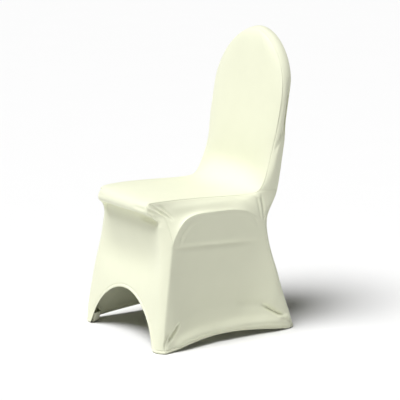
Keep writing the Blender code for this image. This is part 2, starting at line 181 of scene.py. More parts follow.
@dataclass(frozen=True)
class LegFrame:
    """Legs and arches of the chair, which stretch the lower part of the cloth."""

    floor_half_width: float = 0.227
    side_taper: float = 0.0787
    front_floor_y: float = -0.2636
    front_lean: float = 0.1225
    shoulder: float = 0.335
    leg_front_top: float = 0.388
    arch_half_width: float = 0.176
    arch_rise: float = 0.158
    arch_point: float = 1.28
    rear_hem_rise: float = 0.026
    rear_hem_inset: float = 0.022
    flat_rate: float = 1.5
    bend_rate: float = 3.0
    bend_width: float = 0.9
    bend_depth: float = 0.75
    legs: tuple[LegRow, ...] = (
        LegRow(0.000, 0.048, 0.024, 0.258, 0.034),
        LegRow(0.040, 0.047, 0.018, 0.247, 0.032),
        LegRow(0.080, 0.046, 0.016, 0.232, 0.029),
        LegRow(0.125, 0.044, 0.019, 0.216, 0.026),
        LegRow(0.180, 0.040, 0.022, 0.199, 0.022),
        LegRow(0.236, 0.036, 0.027, 0.182, 0.018),
        LegRow(0.317, 0.034, 0.032, 0.163, 0.015),
        LegRow(0.400, 0.034, 0.032, 0.152, 0.014),
    )
    side_arch: tuple[ArchRow, ...] = (
        ArchRow(0.00, -0.190, 0.335),
        ArchRow(0.07, -0.184, 0.359),
        ArchRow(0.14, -0.171, 0.381),
        ArchRow(0.22, -0.152, 0.399),
        ArchRow(0.33, -0.121, 0.411),
        ArchRow(0.52, -0.041, 0.410),
        ArchRow(0.70, 0.033, 0.407),
        ArchRow(0.85, 0.090, 0.391),
        ArchRow(0.94, 0.120, 0.371),
        ArchRow(1.00, 0.137, 0.352),
    )
    side_hem: tuple[HemRow, ...] = (
        HemRow(0.00, 0.000, 0.001),
        HemRow(0.06, 0.002, 0.004),
        HemRow(0.15, 0.007, 0.010),
        HemRow(0.30, 0.015, 0.018),
        HemRow(0.50, 0.020, 0.024),
        HemRow(0.68, 0.016, 0.018),
        HemRow(0.85, 0.007, 0.010),
        HemRow(0.94, 0.002, 0.004),
        HemRow(1.00, 0.000, 0.001),
    )

    def side_x(self, height: float) -> float:
        """Half width of the leg frame at a height."""
        return self.floor_half_width - self.side_taper * height

    def front_y(self, height: float) -> float:
        """Front plane of the leg frame at a height."""
        return self.front_floor_y + self.front_lean * height

    def leg(self, end: End, height: float, turn: float) -> np.ndarray:
        """Point on a rounded right leg.

        Args:
            end: Front or rear leg.
            height: Height above the floor.
            turn: 0 on the leg's front or rear face, 1 on its side face.

        Returns:
            The point.
        """
        if end is End.FRONT:
            width = read(self.legs, "front_width", height)
            corner = read(self.legs, "front_corner", height)
            flat = min(turn * self.flat_rate, 1.0)
            bent = max(turn * self.bend_rate - (self.bend_rate - 1), 0.0)
            x = self.side_x(height) - mix(width, corner, flat) + self.bend_width * corner * bent
            return np.array([x, self.front_y(height) + self.bend_depth * corner * bent, height])
        angle = turn * math.pi / 2
        radius = read(self.legs, "rear_radius", height)
        y = read(self.legs, "rear_edge", height) - radius + radius * math.cos(angle)
        return np.array([self.side_x(height) - radius + radius * math.sin(angle), y, height])


@dataclass(frozen=True)
class SeatAndBack:
    """Padded seat and round-topped backrest of the chair, which carry the upper part of the cloth."""

    front_y: float = 0.163
    base_height: float = 0.45
    lean: float = 0.158
    thickness: float = 0.050
    crown_base: float = 0.73
    crown_rise: float = 0.20
    crown_half_width: float = 0.181
    crown_point: float = 1.17
    crown_stop: float = 82.0
    base_lift: float = 0.030
    side_bulge: float = 0.005
    low_rounding: float = 0.013
    low_rounding_top: float = 0.64
    low_rounding_power: float = 1.5
    rear_inset: float = 0.003
    rear_inset_span: tuple[float, float] = (0.60, 0.85)
    rear_edge_drop: float = 0.002
    tuck_tilt: float = 0.005
    corner_rounding: float = 0.014
    corner_power: int = 6
    corner_seam: tuple[CornerRow, ...] = (
        CornerRow(0, 0.2006, -0.1900, 0.335),
        CornerRow(1, 0.1940, -0.2030, 0.363),
        CornerRow(2, 0.1830, -0.2180, 0.391),
        CornerRow(3, 0.1680, -0.2330, 0.417),
        CornerRow(4, 0.1500, -0.2460, 0.438),
        CornerRow(5, 0.1320, -0.2560, 0.4515),
    )
    cushion_front: tuple[CushionRow, ...] = (
        CushionRow(0, -0.2200, 0.407, 0.164),
        CushionRow(1, -0.2430, 0.410, 0.167),
        CushionRow(2, -0.2620, 0.416, 0.168),
        CushionRow(3, -0.2670, 0.429, 0.166),
        CushionRow(4, -0.2620, 0.445, 0.158),
        CushionRow(5, -0.2440, 0.457, 0.140),
    )
    seat: tuple[SeatRow, ...] = (
        SeatRow(0.00, -0.2440, 0.457, 0.132, -0.256, 0.4515),
        SeatRow(0.10, -0.2050, 0.462, 0.147, -0.226, 0.4545),
        SeatRow(0.25, -0.1500, 0.465, 0.151, -0.165, 0.4545),
        SeatRow(0.50, -0.0500, 0.463, 0.154, -0.055, 0.4490),
        SeatRow(0.75, 0.0450, 0.457, 0.156, 0.045, 0.4420),
        SeatRow(0.90, 0.1060, 0.460, 0.160, 0.106, 0.4390),
        SeatRow(1.00, 0.1430, 0.479, 0.174, 0.143, 0.4410),
    )
    backrest: tuple[BackRow, ...] = (
        BackRow(0.441, 0.000, -0.0186, 0.1770),
        BackRow(0.485, 0.003, -0.0050, 0.1795),
        BackRow(0.530, 0.006, 0.0040, 0.1795),
        BackRow(0.600, 0.007, 0.0090, 0.1800),
        BackRow(0.680, 0.004, 0.0110, 0.1812),
        BackRow(0.760, 0.002, 0.0120, 0.1815),
        BackRow(0.930, 0.002, 0.0120, 0.1815),
    )
    rear_seam: tuple[RearRow, ...] = (
        RearRow(0, 0.1770, 0.2090, 0.441, 0.212, 0.441),
        RearRow(1, 0.1810, 0.2010, 0.423, 0.209, 0.423),
        RearRow(2, 0.1860, 0.1860, 0.404, 0.202, 0.404),
        RearRow(3, 0.1905, 0.1690, 0.386, 0.197, 0.386),
        RearRow(4, 0.1955, 0.1530, 0.369, 0.192, 0.368),
        RearRow(5, 0.1993, 0.1440, 0.352, 0.188, 0.350),
    )

    def plane(self, height: float) -> float:
        """Front plane of the backrest at a height."""
        return self.front_y + self.lean * (height - self.base_height)

    def crown_height(self, x: float) -> float:
        """Height of the crown's outline.

        Args:
            x: Distance from the middle, along X.

        Returns:
            The height above the floor.
        """
        share = min(abs(x) / self.crown_half_width, 1.0)
        angle = math.acos(share ** (1 / self.crown_point))
        return self.crown_base + self.crown_rise * math.sin(angle)

    def side_rounding(self, height: float) -> float:
        """How far the backrest's front edge is drawn in, to round its side below the middle."""
        share = (height - self.base_height) / (self.low_rounding_top - self.base_height)
        return self.low_rounding * math.sin(math.pi * min(max(share, 0.0), 1.0)) ** self.low_rounding_power

    def rear_narrowing(self, height: float) -> float:
        """How much less the rear face's half width is than the front's, in the upper backrest.

        Args:
            height: Height above the floor.

        Returns:
            The difference of the half widths.
        """
        low, high = self.rear_inset_span
        share = min(max((height - low) / (high - low), 0.0), 1.0)
        return self.rear_inset * math.sin(math.pi * share) ** 2

    def cushion_point(self, step: float, share: float) -> np.ndarray:
        """Point of the cushion front.

        Args:
            step: Step of the cushion's section.
            share: Share of the half width there.

        Returns:
            The point.
        """
        half_width = read(self.cushion_front, "half_width", step)
        y = read(self.cushion_front, "y", step) + self.corner_rounding * share**self.corner_power
        return np.array([half_width * share, y, read(self.cushion_front, "z", step)])


@dataclass(frozen=True)
class Steps:
    """Rows and columns of the coarse cloth, counted in steps."""

    apron: int = 11
    cushion: int = 5
    seat: int = 9
    straight: int = 6
    crown: int = 7
    half_columns: int = 10
    leg_column: int = 7
    strip: int = 3

    @property
    def seat_start(self) -> int:
        """Row of the front panel where the seat starts."""
        return self.apron + self.cushion

    @property
    def back_start(self) -> int:
        """Row of the front panel where the backrest starts."""
        return self.seat_start + self.seat

    @property
    def back(self) -> int:
        """Number of rows up the backrest."""
        return self.straight + self.crown

    @property
    def between_legs(self) -> slice:
        """Columns of a full panel from one leg to the other, with the legs' first columns."""
        return slice(self.half_columns - self.leg_column, self.half_columns + self.leg_column + 1)

    def leg_turn(self, column: int) -> float:
        """Share of the quarter turn round a leg at a column of the half panel."""
        return (column - self.leg_column) / (self.half_columns - self.leg_column)

    def spread(self, column: int) -> float:
        """Share of the half width at a column, closer together near the edge."""
        return math.sin(math.pi / 2 * column / self.half_columns)


@dataclass
class Patch:
    """Grid of cloth points, with those that the chair holds and whether its quads are turned over."""

    grid: np.ndarray
    fixed: np.ndarray
    flip: bool


@dataclass(frozen=True)
class CoarseCloth:
    """Coarse grids of the cloth, laid over the chair's form."""

    legs: LegFrame
    top: SeatAndBack
    steps: Steps
    hem_clearance: float = 0.001
    crease_share: float = 0.98
    loose_rows: int = 5
    loose_columns: tuple[int, ...] = (7, 8)
    cushion_power: int = 8
    seat_power: int = 3
    seat_fall: float = 0.9
    setback_power: int = 4
    edge_power: int = 5
    rear_power: int = 3
    rear_hem_power: float = 1.5
    rear_top_share: float = 0.85
    tilt_shares: tuple[float, ...] = (1.0, 1.0, 0.9, 0.4)

    def patches(self) -> dict[str, Patch]:
        """All coarse grids of the cloth.

        Returns:
            The front, rear, strip, right and left patches by name.
        """
        front = self._front()
        rear = self._rear()
        strip = self._strip(front.grid, rear.grid)
        return {
            "front": front,
            "rear": rear,
            "strip": strip,
            "right": self._side(front.grid, rear.grid, strip.grid, Hand.RIGHT),
            "left": self._side(front.grid, rear.grid, strip.grid, Hand.LEFT),
        }

    @staticmethod
    def _mirrored(half: np.ndarray) -> np.ndarray:
        """Full-width grid from the columns of its right half."""
        left = half[:, :0:-1] * np.array([-1.0, 1.0, 1.0])
        return np.concatenate([left, half], axis=1)

    def _apron(self) -> np.ndarray:
        """Right half of the apron.

        Returns:
            Grid from the arched hem up to the crease under the cushion.
        """
        steps, legs = self.steps, self.legs
        grid = np.zeros((steps.apron + 1, steps.half_columns + 1, 3))
        for column in range(steps.half_columns + 1):
            if column >= steps.leg_column:
                turn = steps.leg_turn(column)
                top = mix(legs.leg_front_top, legs.shoulder, turn)
                for row in range(steps.apron + 1):
                    height = mix(self.hem_clearance, top, row / steps.apron)
                    grid[row, column] = legs.leg(End.FRONT, height, turn)
                continue
            angle = math.pi / 2 * column / steps.leg_column
            rise = max(legs.arch_rise * math.cos(angle) ** legs.arch_point, self.hem_clearance)
            hem = np.array([legs.arch_half_width * math.sin(angle), legs.front_y(rise), rise])
            crease = self.top.cushion_point(0, column / steps.leg_column * self.crease_share)
            for row in range(steps.apron + 1):
                grid[row, column] = mix(hem, crease, row / steps.apron)
        return grid

    def _cushion(self) -> np.ndarray:
        """Right half of the cushion front.

        Returns:
            Grid from above the crease up to the seat.
        """
        steps = self.steps
        grid = np.zeros((steps.cushion, steps.half_columns + 1, 3))
        for row in range(steps.cushion):
            seam = np.array([read(self.top.corner_seam, axis, row + 1) for axis in "xyz"])
            for column in range(steps.half_columns + 1):
                share = steps.spread(column)
                point = self.top.cushion_point(row + 1, share)
                grid[row, column] = mix(point, seam, share**self.cushion_power)
        return grid

    def _seat(self) -> np.ndarray:
        """Right half of the seat, crowned across and falling to its side seam.

        Returns:
            Grid from the cushion front back to the backrest.
        """
        steps, table = self.steps, self.top.seat
        grid = np.zeros((steps.seat, steps.half_columns + 1, 3))
        for row in range(steps.seat):
            along = (row + 1) / steps.seat
            middle_y = read(table, "middle_y", along)
            middle_z = read(table, "middle_z", along)
            seam = [read(table, "seam_" + axis, along) for axis in "xyz"]
            for column in range(steps.half_columns + 1):
                share = steps.spread(column)
                crown = (1.0 - share**self.seat_power) ** self.seat_fall
                y = mix(middle_y, seam[1], share**self.setback_power)
                grid[row, column] = (seam[0] * share, y, mix(seam[2], middle_z, crown))
        return grid

    def _outline(self, row: int) -> tuple[float, float]:
        """Place on the backrest's outline.

        Args:
            row: Row above the seat.

        Returns:
            The half width and the height there.
        """
        steps, top = self.steps, self.top
        if row <= steps.straight:
            height = mix(top.backrest[0].height, top.crown_base, row / steps.straight)
            return read(top.backrest, "half_width", height), height
        angle = math.radians(top.crown_stop) * (row - steps.straight) / steps.crown
        half_width = top.crown_half_width * math.cos(angle) ** top.crown_point
        return half_width, top.crown_base + top.crown_rise * math.sin(angle)

    def _edge_share(self, row: int, share: float) -> float:
        """How near a point of the backrest is to its outline, 0 in the middle and 1 on it."""
        crown = max(0.0, (row - self.steps.straight) / self.steps.crown)
        return max(share, crown) ** self.edge_power

    def _backrest(self, end: End) -> np.ndarray:
        """Right half of one face of the backrest.

        Args:
            end: Front or rear face.

        Returns:
            Grid from the seat up to the crown.
        """
        steps, top = self.steps, self.top
        first = 1 if end is End.FRONT else 0
        grid = np.zeros((steps.back + 1 - first, steps.half_columns + 1, 3))
        for row in range(first, steps.back + 1):
            half_width, height = self._outline(row)
            for column in range(steps.half_columns + 1):
                share = steps.spread(column)
                edge = self._edge_share(row, share)
                x = half_width * share
                z = top.crown_height(x) if row == steps.back else height
                if end is End.REAR:
                    y = top.plane(z) + top.thickness - top.rear_edge_drop * edge
                    x -= top.rear_narrowing(height) * share**self.edge_power
                else:
                    low = max(0.0, 1 - row / steps.straight) ** 2
                    z += top.base_lift * low * (1 - share**self.setback_power)
                    swell = read(top.backrest, "swell", z)
                    y = top.plane(z) - swell + (swell + read(top.backrest, "seam_back", z)) * edge
                    x -= top.side_rounding(height) * share**self.edge_power
                grid[row - first, column] = (x, y, z)
        return grid

    def _held_below(self, grid: np.ndarray) -> np.ndarray:
        """Held points that the front and rear grids share: the hem, the legs and all above the seat.

        Args:
            grid: Grid of the front or the rear.

        Returns:
            True for each point that is held.
        """
        steps = self.steps
        fixed = np.zeros(grid.shape[:2], dtype=bool)
        fixed[0] = True
        fixed[steps.seat_start:] = True
        fixed[:, [0, -1]] = True
        fixed[:steps.apron, :steps.half_columns - steps.leg_column + 1] = True
        fixed[:steps.apron, steps.half_columns + steps.leg_column:] = True
        return fixed

    def _front(self) -> Patch:
        """Panel from the front hem over the seat and up to the crown.

        Returns:
            The front patch.
        """
        steps = self.steps
        half = np.concatenate([self._apron(), self._cushion(), self._seat(), self._backrest(End.FRONT)])
        grid = self._mirrored(half)
        self._tilt_tuck(grid)
        fixed = self._held_below(grid)
        fixed[steps.apron + 1:steps.seat_start, [0, -1]] = False
        inner = slice(steps.half_columns - steps.leg_column + 1, steps.half_columns + steps.leg_column)
        fixed[steps.apron:steps.seat_start, inner] = True
        leg_columns = [
            steps.half_columns + hand.value * column for hand in Hand for column in self.loose_columns
        ]
        fixed[steps.apron - self.loose_rows:steps.apron, leg_columns] = False
        return Patch(grid, fixed, False)

    def _tilt_tuck(self, grid: np.ndarray) -> None:
        """Lift the tuck under the cushion at its right end and lower it at its left.

        Args:
            grid: Grid of the front, which is changed.
        """
        inner = self.steps.between_legs
        for row, share in enumerate(self.tilt_shares, self.steps.apron):
            across = grid[row, inner, 0] / self.top.cushion_front[0].half_width
            grid[row, inner, 2] += self.top.tuck_tilt * share * across

    def _rear_lower(self, row: int, column: int) -> np.ndarray:
        """First place of a point of the lower rear.

        Args:
            row: Row above the rear hem.
            column: Column from the middle.

        Returns:
            The point.
        """
        steps, legs, table = self.steps, self.legs, self.top.rear_seam
        if row >= steps.apron:
            step = steps.seat_start - row
            seam = np.array([read(table, axis, step) for axis in "xyz"])
            middle = np.array([0.0, read(table, "middle_y", step), read(table, "middle_z", step)])
            share = steps.spread(column)
            point = mix(middle, seam, share**self.rear_power)
            point[0] = seam[0] * share
            return point
        up = row / steps.apron
        if column >= steps.leg_column:
            height = mix(self.hem_clearance, table[-1].z, up)
            return legs.leg(End.REAR, height, steps.leg_turn(column))
        across = column / steps.leg_column
        foot = legs.leg(End.REAR, self.hem_clearance, 0.0)
        drawn = math.cos(math.pi / 2 * across) ** self.rear_hem_power
        rise = max(self.hem_clearance, legs.rear_hem_rise * drawn)
        hem = np.array([foot[0] * across, foot[1] - legs.rear_hem_inset * drawn, rise])
        top_x = foot[0] * self.rear_top_share * across
        top = np.array([top_x, table[-1].middle_y, table[-1].middle_z])
        return mix(hem, top, up)

    def _rear(self) -> Patch:
        """Rear face from the rear hem up to the crown, without the backrest's thickness.

        Returns:
            The rear patch.
        """
        steps = self.steps
        lower = np.zeros((steps.seat_start, steps.half_columns + 1, 3))
        for row, column in np.ndindex(lower.shape[:2]):
            lower[row, column] = self._rear_lower(row, column)
        grid = self._mirrored(np.concatenate([lower, self._backrest(End.REAR)]))
        return Patch(grid, self._held_below(grid), True)

    @staticmethod
    def _edge_loop(face: np.ndarray) -> np.ndarray:
        """Outline of a backrest face: up its right edge, over the crown, down its left edge."""
        return np.concatenate([face[:, -1], face[-1, -2:0:-1], face[::-1, 0]])

    def _strip(self, front: np.ndarray, rear: np.ndarray) -> Patch:
        """Cloth round the thickness of the backrest, one row for each point of the outline.

        Args:
            front: Grid of the front.
            rear: Grid of the rear.

        Returns:
            The strip patch.
        """
        steps = self.steps
        front_edge = self._edge_loop(front[steps.back_start:])
        rear_edge = self._edge_loop(rear[steps.seat_start:])
        grid = np.zeros((len(front_edge), steps.strip + 1, 3))
        for row, tangent in enumerate(np.gradient(front_edge, axis=0)):
            outward = np.array([tangent[2], 0.0, -tangent[0]])
            outward /= np.linalg.norm(outward)
            for column in range(steps.strip + 1):
                share = column / steps.strip
                bulge = self.top.side_bulge * math.sin(math.pi * share)
                grid[row, column] = mix(front_edge[row], rear_edge[row], share) + outward * bulge
            grid[row, 1] += outward * self.top.side_rounding(front_edge[row][2])
        return Patch(grid, np.ones(grid.shape[:2], dtype=bool), False)

    def _side(self, front: np.ndarray, rear: np.ndarray, strip: np.ndarray, hand: Hand) -> Patch:
        """Side panel: rows from the seat seam down to the hem, columns from front to rear.

        Args:
            front: Grid of the front.
            rear: Grid of the rear.
            strip: Grid of the strip round the backrest.
            hand: Right or left side.

        Returns:
            The side patch.
        """
        steps, legs, side = self.steps, self.legs, hand.value
        edge = -1 if hand is Hand.RIGHT else 0
        grid = np.zeros((steps.seat_start + 1, steps.seat + steps.strip + 1, 3))
        last = grid.shape[1] - 1
        grid[0, :steps.seat + 1] = front[steps.seat_start:steps.back_start + 1, edge]
        grid[0, steps.seat:] = strip[0] if hand is Hand.RIGHT else strip[-1]
        grid[:, 0] = front[steps.seat_start::-1, edge]
        grid[:, -1] = rear[steps.seat_start::-1, edge]
        for column in range(1, last):
            along = column / last
            height = read(legs.side_arch, "z", along)
            arch = np.array([side * legs.side_x(height), read(legs.side_arch, "y", along), height])
            foot = mix(grid[-1, 0], grid[-1, -1], along)
            inset = side * read(legs.side_hem, "inset", along)
            hem = np.array([foot[0] - inset, foot[1], read(legs.side_hem, "rise", along)])
            for row in range(1, steps.seat_start + 1):
                if row <= steps.cushion:
                    grid[row, column] = mix(grid[0, column], arch, row / steps.cushion)
                else:
                    grid[row, column] = mix(arch, hem, (row - steps.cushion) / steps.apron)
        fixed = np.zeros(grid.shape[:2], dtype=bool)
        fixed[[0, steps.cushion, -1]] = True
        fixed[:, [0, -1]] = True
        fixed[1:steps.cushion, 0] = False
        return Patch(grid, fixed, hand is Hand.RIGHT)


def numbered(grids: dict[str, np.ndarray]) -> tuple[np.ndarray, dict[str, np.ndarray]]:
    """Number the points of several grids, with one number for points that coincide.

    Args:
        grids: Point grids by name.

    Returns:
        The points, and for each name the grid of their numbers.
    """
    flat = np.concatenate([grid.reshape(-1, 3) for grid in grids.values()])
    rounded = np.round(flat, SAME_PLACE_DECIMALS)
    _, first, inverse = np.unique(rounded, axis=0, return_index=True, return_inverse=True)
    inverse = inverse.reshape(-1)
    numbers, start = {}, 0
    for name, grid in grids.items():
        count = grid.shape[0] * grid.shape[1]
        numbers[name] = inverse[start:start + count].reshape(grid.shape[:2])
        start += count
    return flat[first].copy(), numbers


def quads_of(numbers: np.ndarray, flip: bool) -> np.ndarray:
    """Quads between the neighbours of a grid.

    Args:
        numbers: Grid of point numbers.
        flip: Whether the quads are turned over.

    Returns:
        Four point numbers for each quad.
    """
    corners = [numbers[:-1, :-1], numbers[:-1, 1:], numbers[1:, 1:], numbers[1:, :-1]]
    quads = np.stack([corner.reshape(-1) for corner in corners], axis=1)
    return quads[:, ::-1] if flip else quads


@dataclass(frozen=True)
class Membrane:
    """The cloth drawn taut over the chair, smooth but for the ridges where it bends over the frame."""

    coarse: CoarseCloth
    rounds: int = 900
    levels: int = 3
    ridge: float = 0.62
    leg_edge: float = 0.85
    tuck: float = 0.45

    @property
    def dense(self) -> int:
        """Fine steps in one coarse step."""
        return 2**self.levels

    def grids(self) -> tuple[dict[str, np.ndarray], float]:
        """Smooth dense grids of the cloth.

        Returns:
            The grids by patch name, and the shift that centres the cover along Y.
        """
        patches = self.coarse.patches()
        points, numbers = numbered({name: patch.grid for name, patch in patches.items()})
        quads = {name: quads_of(numbers[name], patch.flip) for name, patch in patches.items()}
        held = np.zeros(len(points), dtype=bool)
        for name, patch in patches.items():
            held[numbers[name][patch.fixed]] = True
        self._relax(points, held, np.concatenate(list(quads.values())))
        shift = -(points[:, 1].min() + points[:, 1].max()) / 2
        points[:, 1] += shift
        return self._smooth(points, numbers, patches), float(shift)

    def _relax(self, points: np.ndarray, held: np.ndarray, quads: np.ndarray) -> None:
        """Let the free points take the shape of a stretched membrane.

        Args:
            points: All points, of which the free ones are moved.
            held: True for each point that the chair holds.
            quads: Point numbers of each quad.
        """
        pairs = np.concatenate([quads[:, [k, (k + 1) % 4]] for k in range(4)])
        pairs = np.unique(np.sort(pairs, axis=1), axis=0)
        starts = np.concatenate([pairs[:, 0], pairs[:, 1]])
        ends = np.concatenate([pairs[:, 1], pairs[:, 0]])
        degree = np.bincount(starts, minlength=len(points))
        free = ~held
        for _ in range(self.rounds):
            for axis in range(3):
                total = np.bincount(starts, weights=points[ends, axis], minlength=len(points))
                points[free, axis] = total[free] / degree[free]

    def _creases(self, numbers: dict[str, np.ndarray]) -> dict[tuple[int, int], float]:
        """Edges over the frame arches, the leg edges and the tuck under the cushion.

        Args:
            numbers: Grids of point numbers by patch name.

        Returns:
            The sharpness of each such edge by its two point numbers, the lower one first.
        """
        steps = self.coarse.steps
        lines = []
        for hand in ("right", "left"):
            side = numbers[hand]
            lines.append((side[steps.cushion], self.ridge))
            lines.append((side[steps.cushion:, 0], self.leg_edge))
            lines.append((side[steps.cushion:, -1], self.leg_edge))
        lines.append((numbers["front"][steps.apron, steps.between_legs], self.tuck))
        creases = {}
        for line, sharpness in lines:
            for start, end in zip(line, line[1:]):
                creases[(min(start, end), max(start, end))] = sharpness
        return creases

    def _smooth(
        self, points: np.ndarray, numbers: dict[str, np.ndarray], patches: dict[str, Patch]
    ) -> dict[str, np.ndarray]:
        """Subdivide the whole cloth at once, and read each patch back.

        Args:
            points: Relaxed points of the coarse cloth.
            numbers: Grids of point numbers by patch name.
            patches: The coarse patches by name.

        Returns:
            A dense grid for each patch.
        """
        net = self._net(points, numbers, patches)
        fine = net.evaluated_get(bpy.context.evaluated_depsgraph_get()).to_mesh()
        grids = self._read_back(fine, patches)
        bpy.data.objects.remove(net, do_unlink=True)
        return grids

    def _net(
        self, points: np.ndarray, numbers: dict[str, np.ndarray], patches: dict[str, Patch]
    ) -> bpy.types.Object:
        """Coarse cloth as one mesh, with the patch and the grid place of each face corner.

        Args:
            points: Relaxed points of the coarse cloth.
            numbers: Grids of point numbers by patch name.
            patches: The coarse patches by name.

        Returns:
            The net, which is smoothed when it is evaluated.
        """
        mesh = bpy.data.meshes.new("cloth_net")
        faces, corners, owners = [], [], []
        for owner, (name, patch) in enumerate(patches.items()):
            rows, columns = patch.grid.shape[:2]
            place = np.stack(np.meshgrid(np.arange(rows), np.arange(columns), indexing="ij"), axis=-1)
            at = np.arange(rows * columns).reshape(rows, columns)
            local = quads_of(at, patch.flip)
            faces.append(numbers[name].reshape(-1)[local])
            corners.append(place.reshape(-1, 2)[local])
            owners += [owner] * len(local)
        mesh.from_pydata(points.tolist(), [], np.concatenate(faces).tolist())
        layer = mesh.uv_layers.new(name="place")
        layer.data.foreach_set("uv", np.concatenate(corners).astype(np.float32).reshape(-1))
        owner_of = mesh.attributes.new("owner", "INT", "FACE")
        owner_of.data.foreach_set("value", owners)
        creases = self._creases(numbers)
        values = [creases.get((min(e.vertices), max(e.vertices)), 0.0) for e in mesh.edges]
        crease = mesh.attributes.new("crease_edge", "FLOAT", "EDGE")
        crease.data.foreach_set("value", values)
        net = bpy.data.objects.new("cloth_net", mesh)
        bpy.context.scene.collection.objects.link(net)
        smooth = net.modifiers.new("smooth", "SUBSURF")
        smooth.levels = smooth.render_levels = self.levels
        smooth.uv_smooth = "NONE"
        return net

    def _read_back(self, fine: bpy.types.Mesh, patches: dict[str, Patch]) -> dict[str, np.ndarray]:
        """Dense grids of the patches, from the smoothed net.

        Args:
            fine: The smoothed net's mesh.
            patches: The coarse patches by name.

        Returns:
            A dense grid for each patch.
        """
        where = np.zeros(len(fine.vertices) * 3, dtype=np.float32)
        fine.vertices.foreach_get("co", where)
        where = where.reshape(-1, 3).astype(float)
        corner = np.zeros(len(fine.loops), dtype=np.int32)
        fine.loops.foreach_get("vertex_index", corner)
        place = np.zeros(len(fine.loops) * 2, dtype=np.float32)
        fine.uv_layers["place"].data.foreach_get("uv", place)
        place = np.rint(place.reshape(-1, 2) * self.dense).astype(int)
        owner = np.zeros(len(fine.polygons), dtype=np.int32)
        fine.attributes["owner"].data.foreach_get("value", owner)
        owner = np.repeat(owner, 4)
        grids = {}
        for number, (name, patch) in enumerate(patches.items()):
            rows, columns = (np.array(patch.grid.shape[:2]) - 1) * self.dense + 1
            grid = np.zeros((rows, columns, 3))
            mine = owner == number
            grid[place[mine, 0], place[mine, 1]] = where[corner[mine]]
            grids[name] = grid
        return grids


class Run(NamedTuple):
    """Stretch of a sheet that is read at one step."""

    start: float
    end: float
    step: float


def stops(runs: Sequence[Run]) -> np.ndarray:
    """Reading positions along a sheet.

    Args:
        runs: Stretches that follow one another, in coarse steps.

    Returns:
        The positions, rising.
    """
    parts = [
        np.linspace(run.start, run.end, round((run.end - run.start) / run.step), endpoint=False)
        for run in runs
    ]
    return np.append(np.concatenate(parts), runs[-1].end)


def resample(line: np.ndarray, at: np.ndarray, breaks: Sequence[float], dense: int) -> np.ndarray:
    """Read a dense grid at other positions along its first axis, with cubic pieces.

    Args:
        line: Grid whose points lie one dense step apart.
        at: Positions in coarse steps, rising.
        breaks: Positions where the pieces meet at an angle.
        dense: Dense steps in one coarse step.

    Returns:
        The grid at those positions.
    """
    result = np.empty((len(at),) + line.shape[1:])
    knots = [0.0, *breaks, (len(line) - 1) / dense]
    for low, high in zip(knots, knots[1:]):
        chosen = (at >= low - POSITION_TOLERANCE) & (at <= high + POSITION_TOLERANCE)
        part = line[round(low * dense):round(high * dense) + 1]
        part = np.concatenate([2 * part[:1] - part[1:2], part, 2 * part[-1:] - part[-2:-1]])
        place = np.clip((at[chosen] - low) * dense, 0, len(part) - 3)
        first = np.minimum(place.astype(int), len(part) - 4)
        u = (place - first).reshape((-1,) + (1,) * (line.ndim - 1))
        a, b, c, d = (part[first + k] for k in range(4))
        bend = 2 * a - 5 * b + 4 * c - d + u * (3 * (b - c) + d - a)
        result[chosen] = b + 0.5 * u * (c - a + u * bend)
    return result


class Fold(NamedTuple):
    """Soft trough (depth above 0) or ridge (below 0) along a route over the cloth."""

    depth: float
    width: float
    route: tuple[tuple[float, float, float], ...]


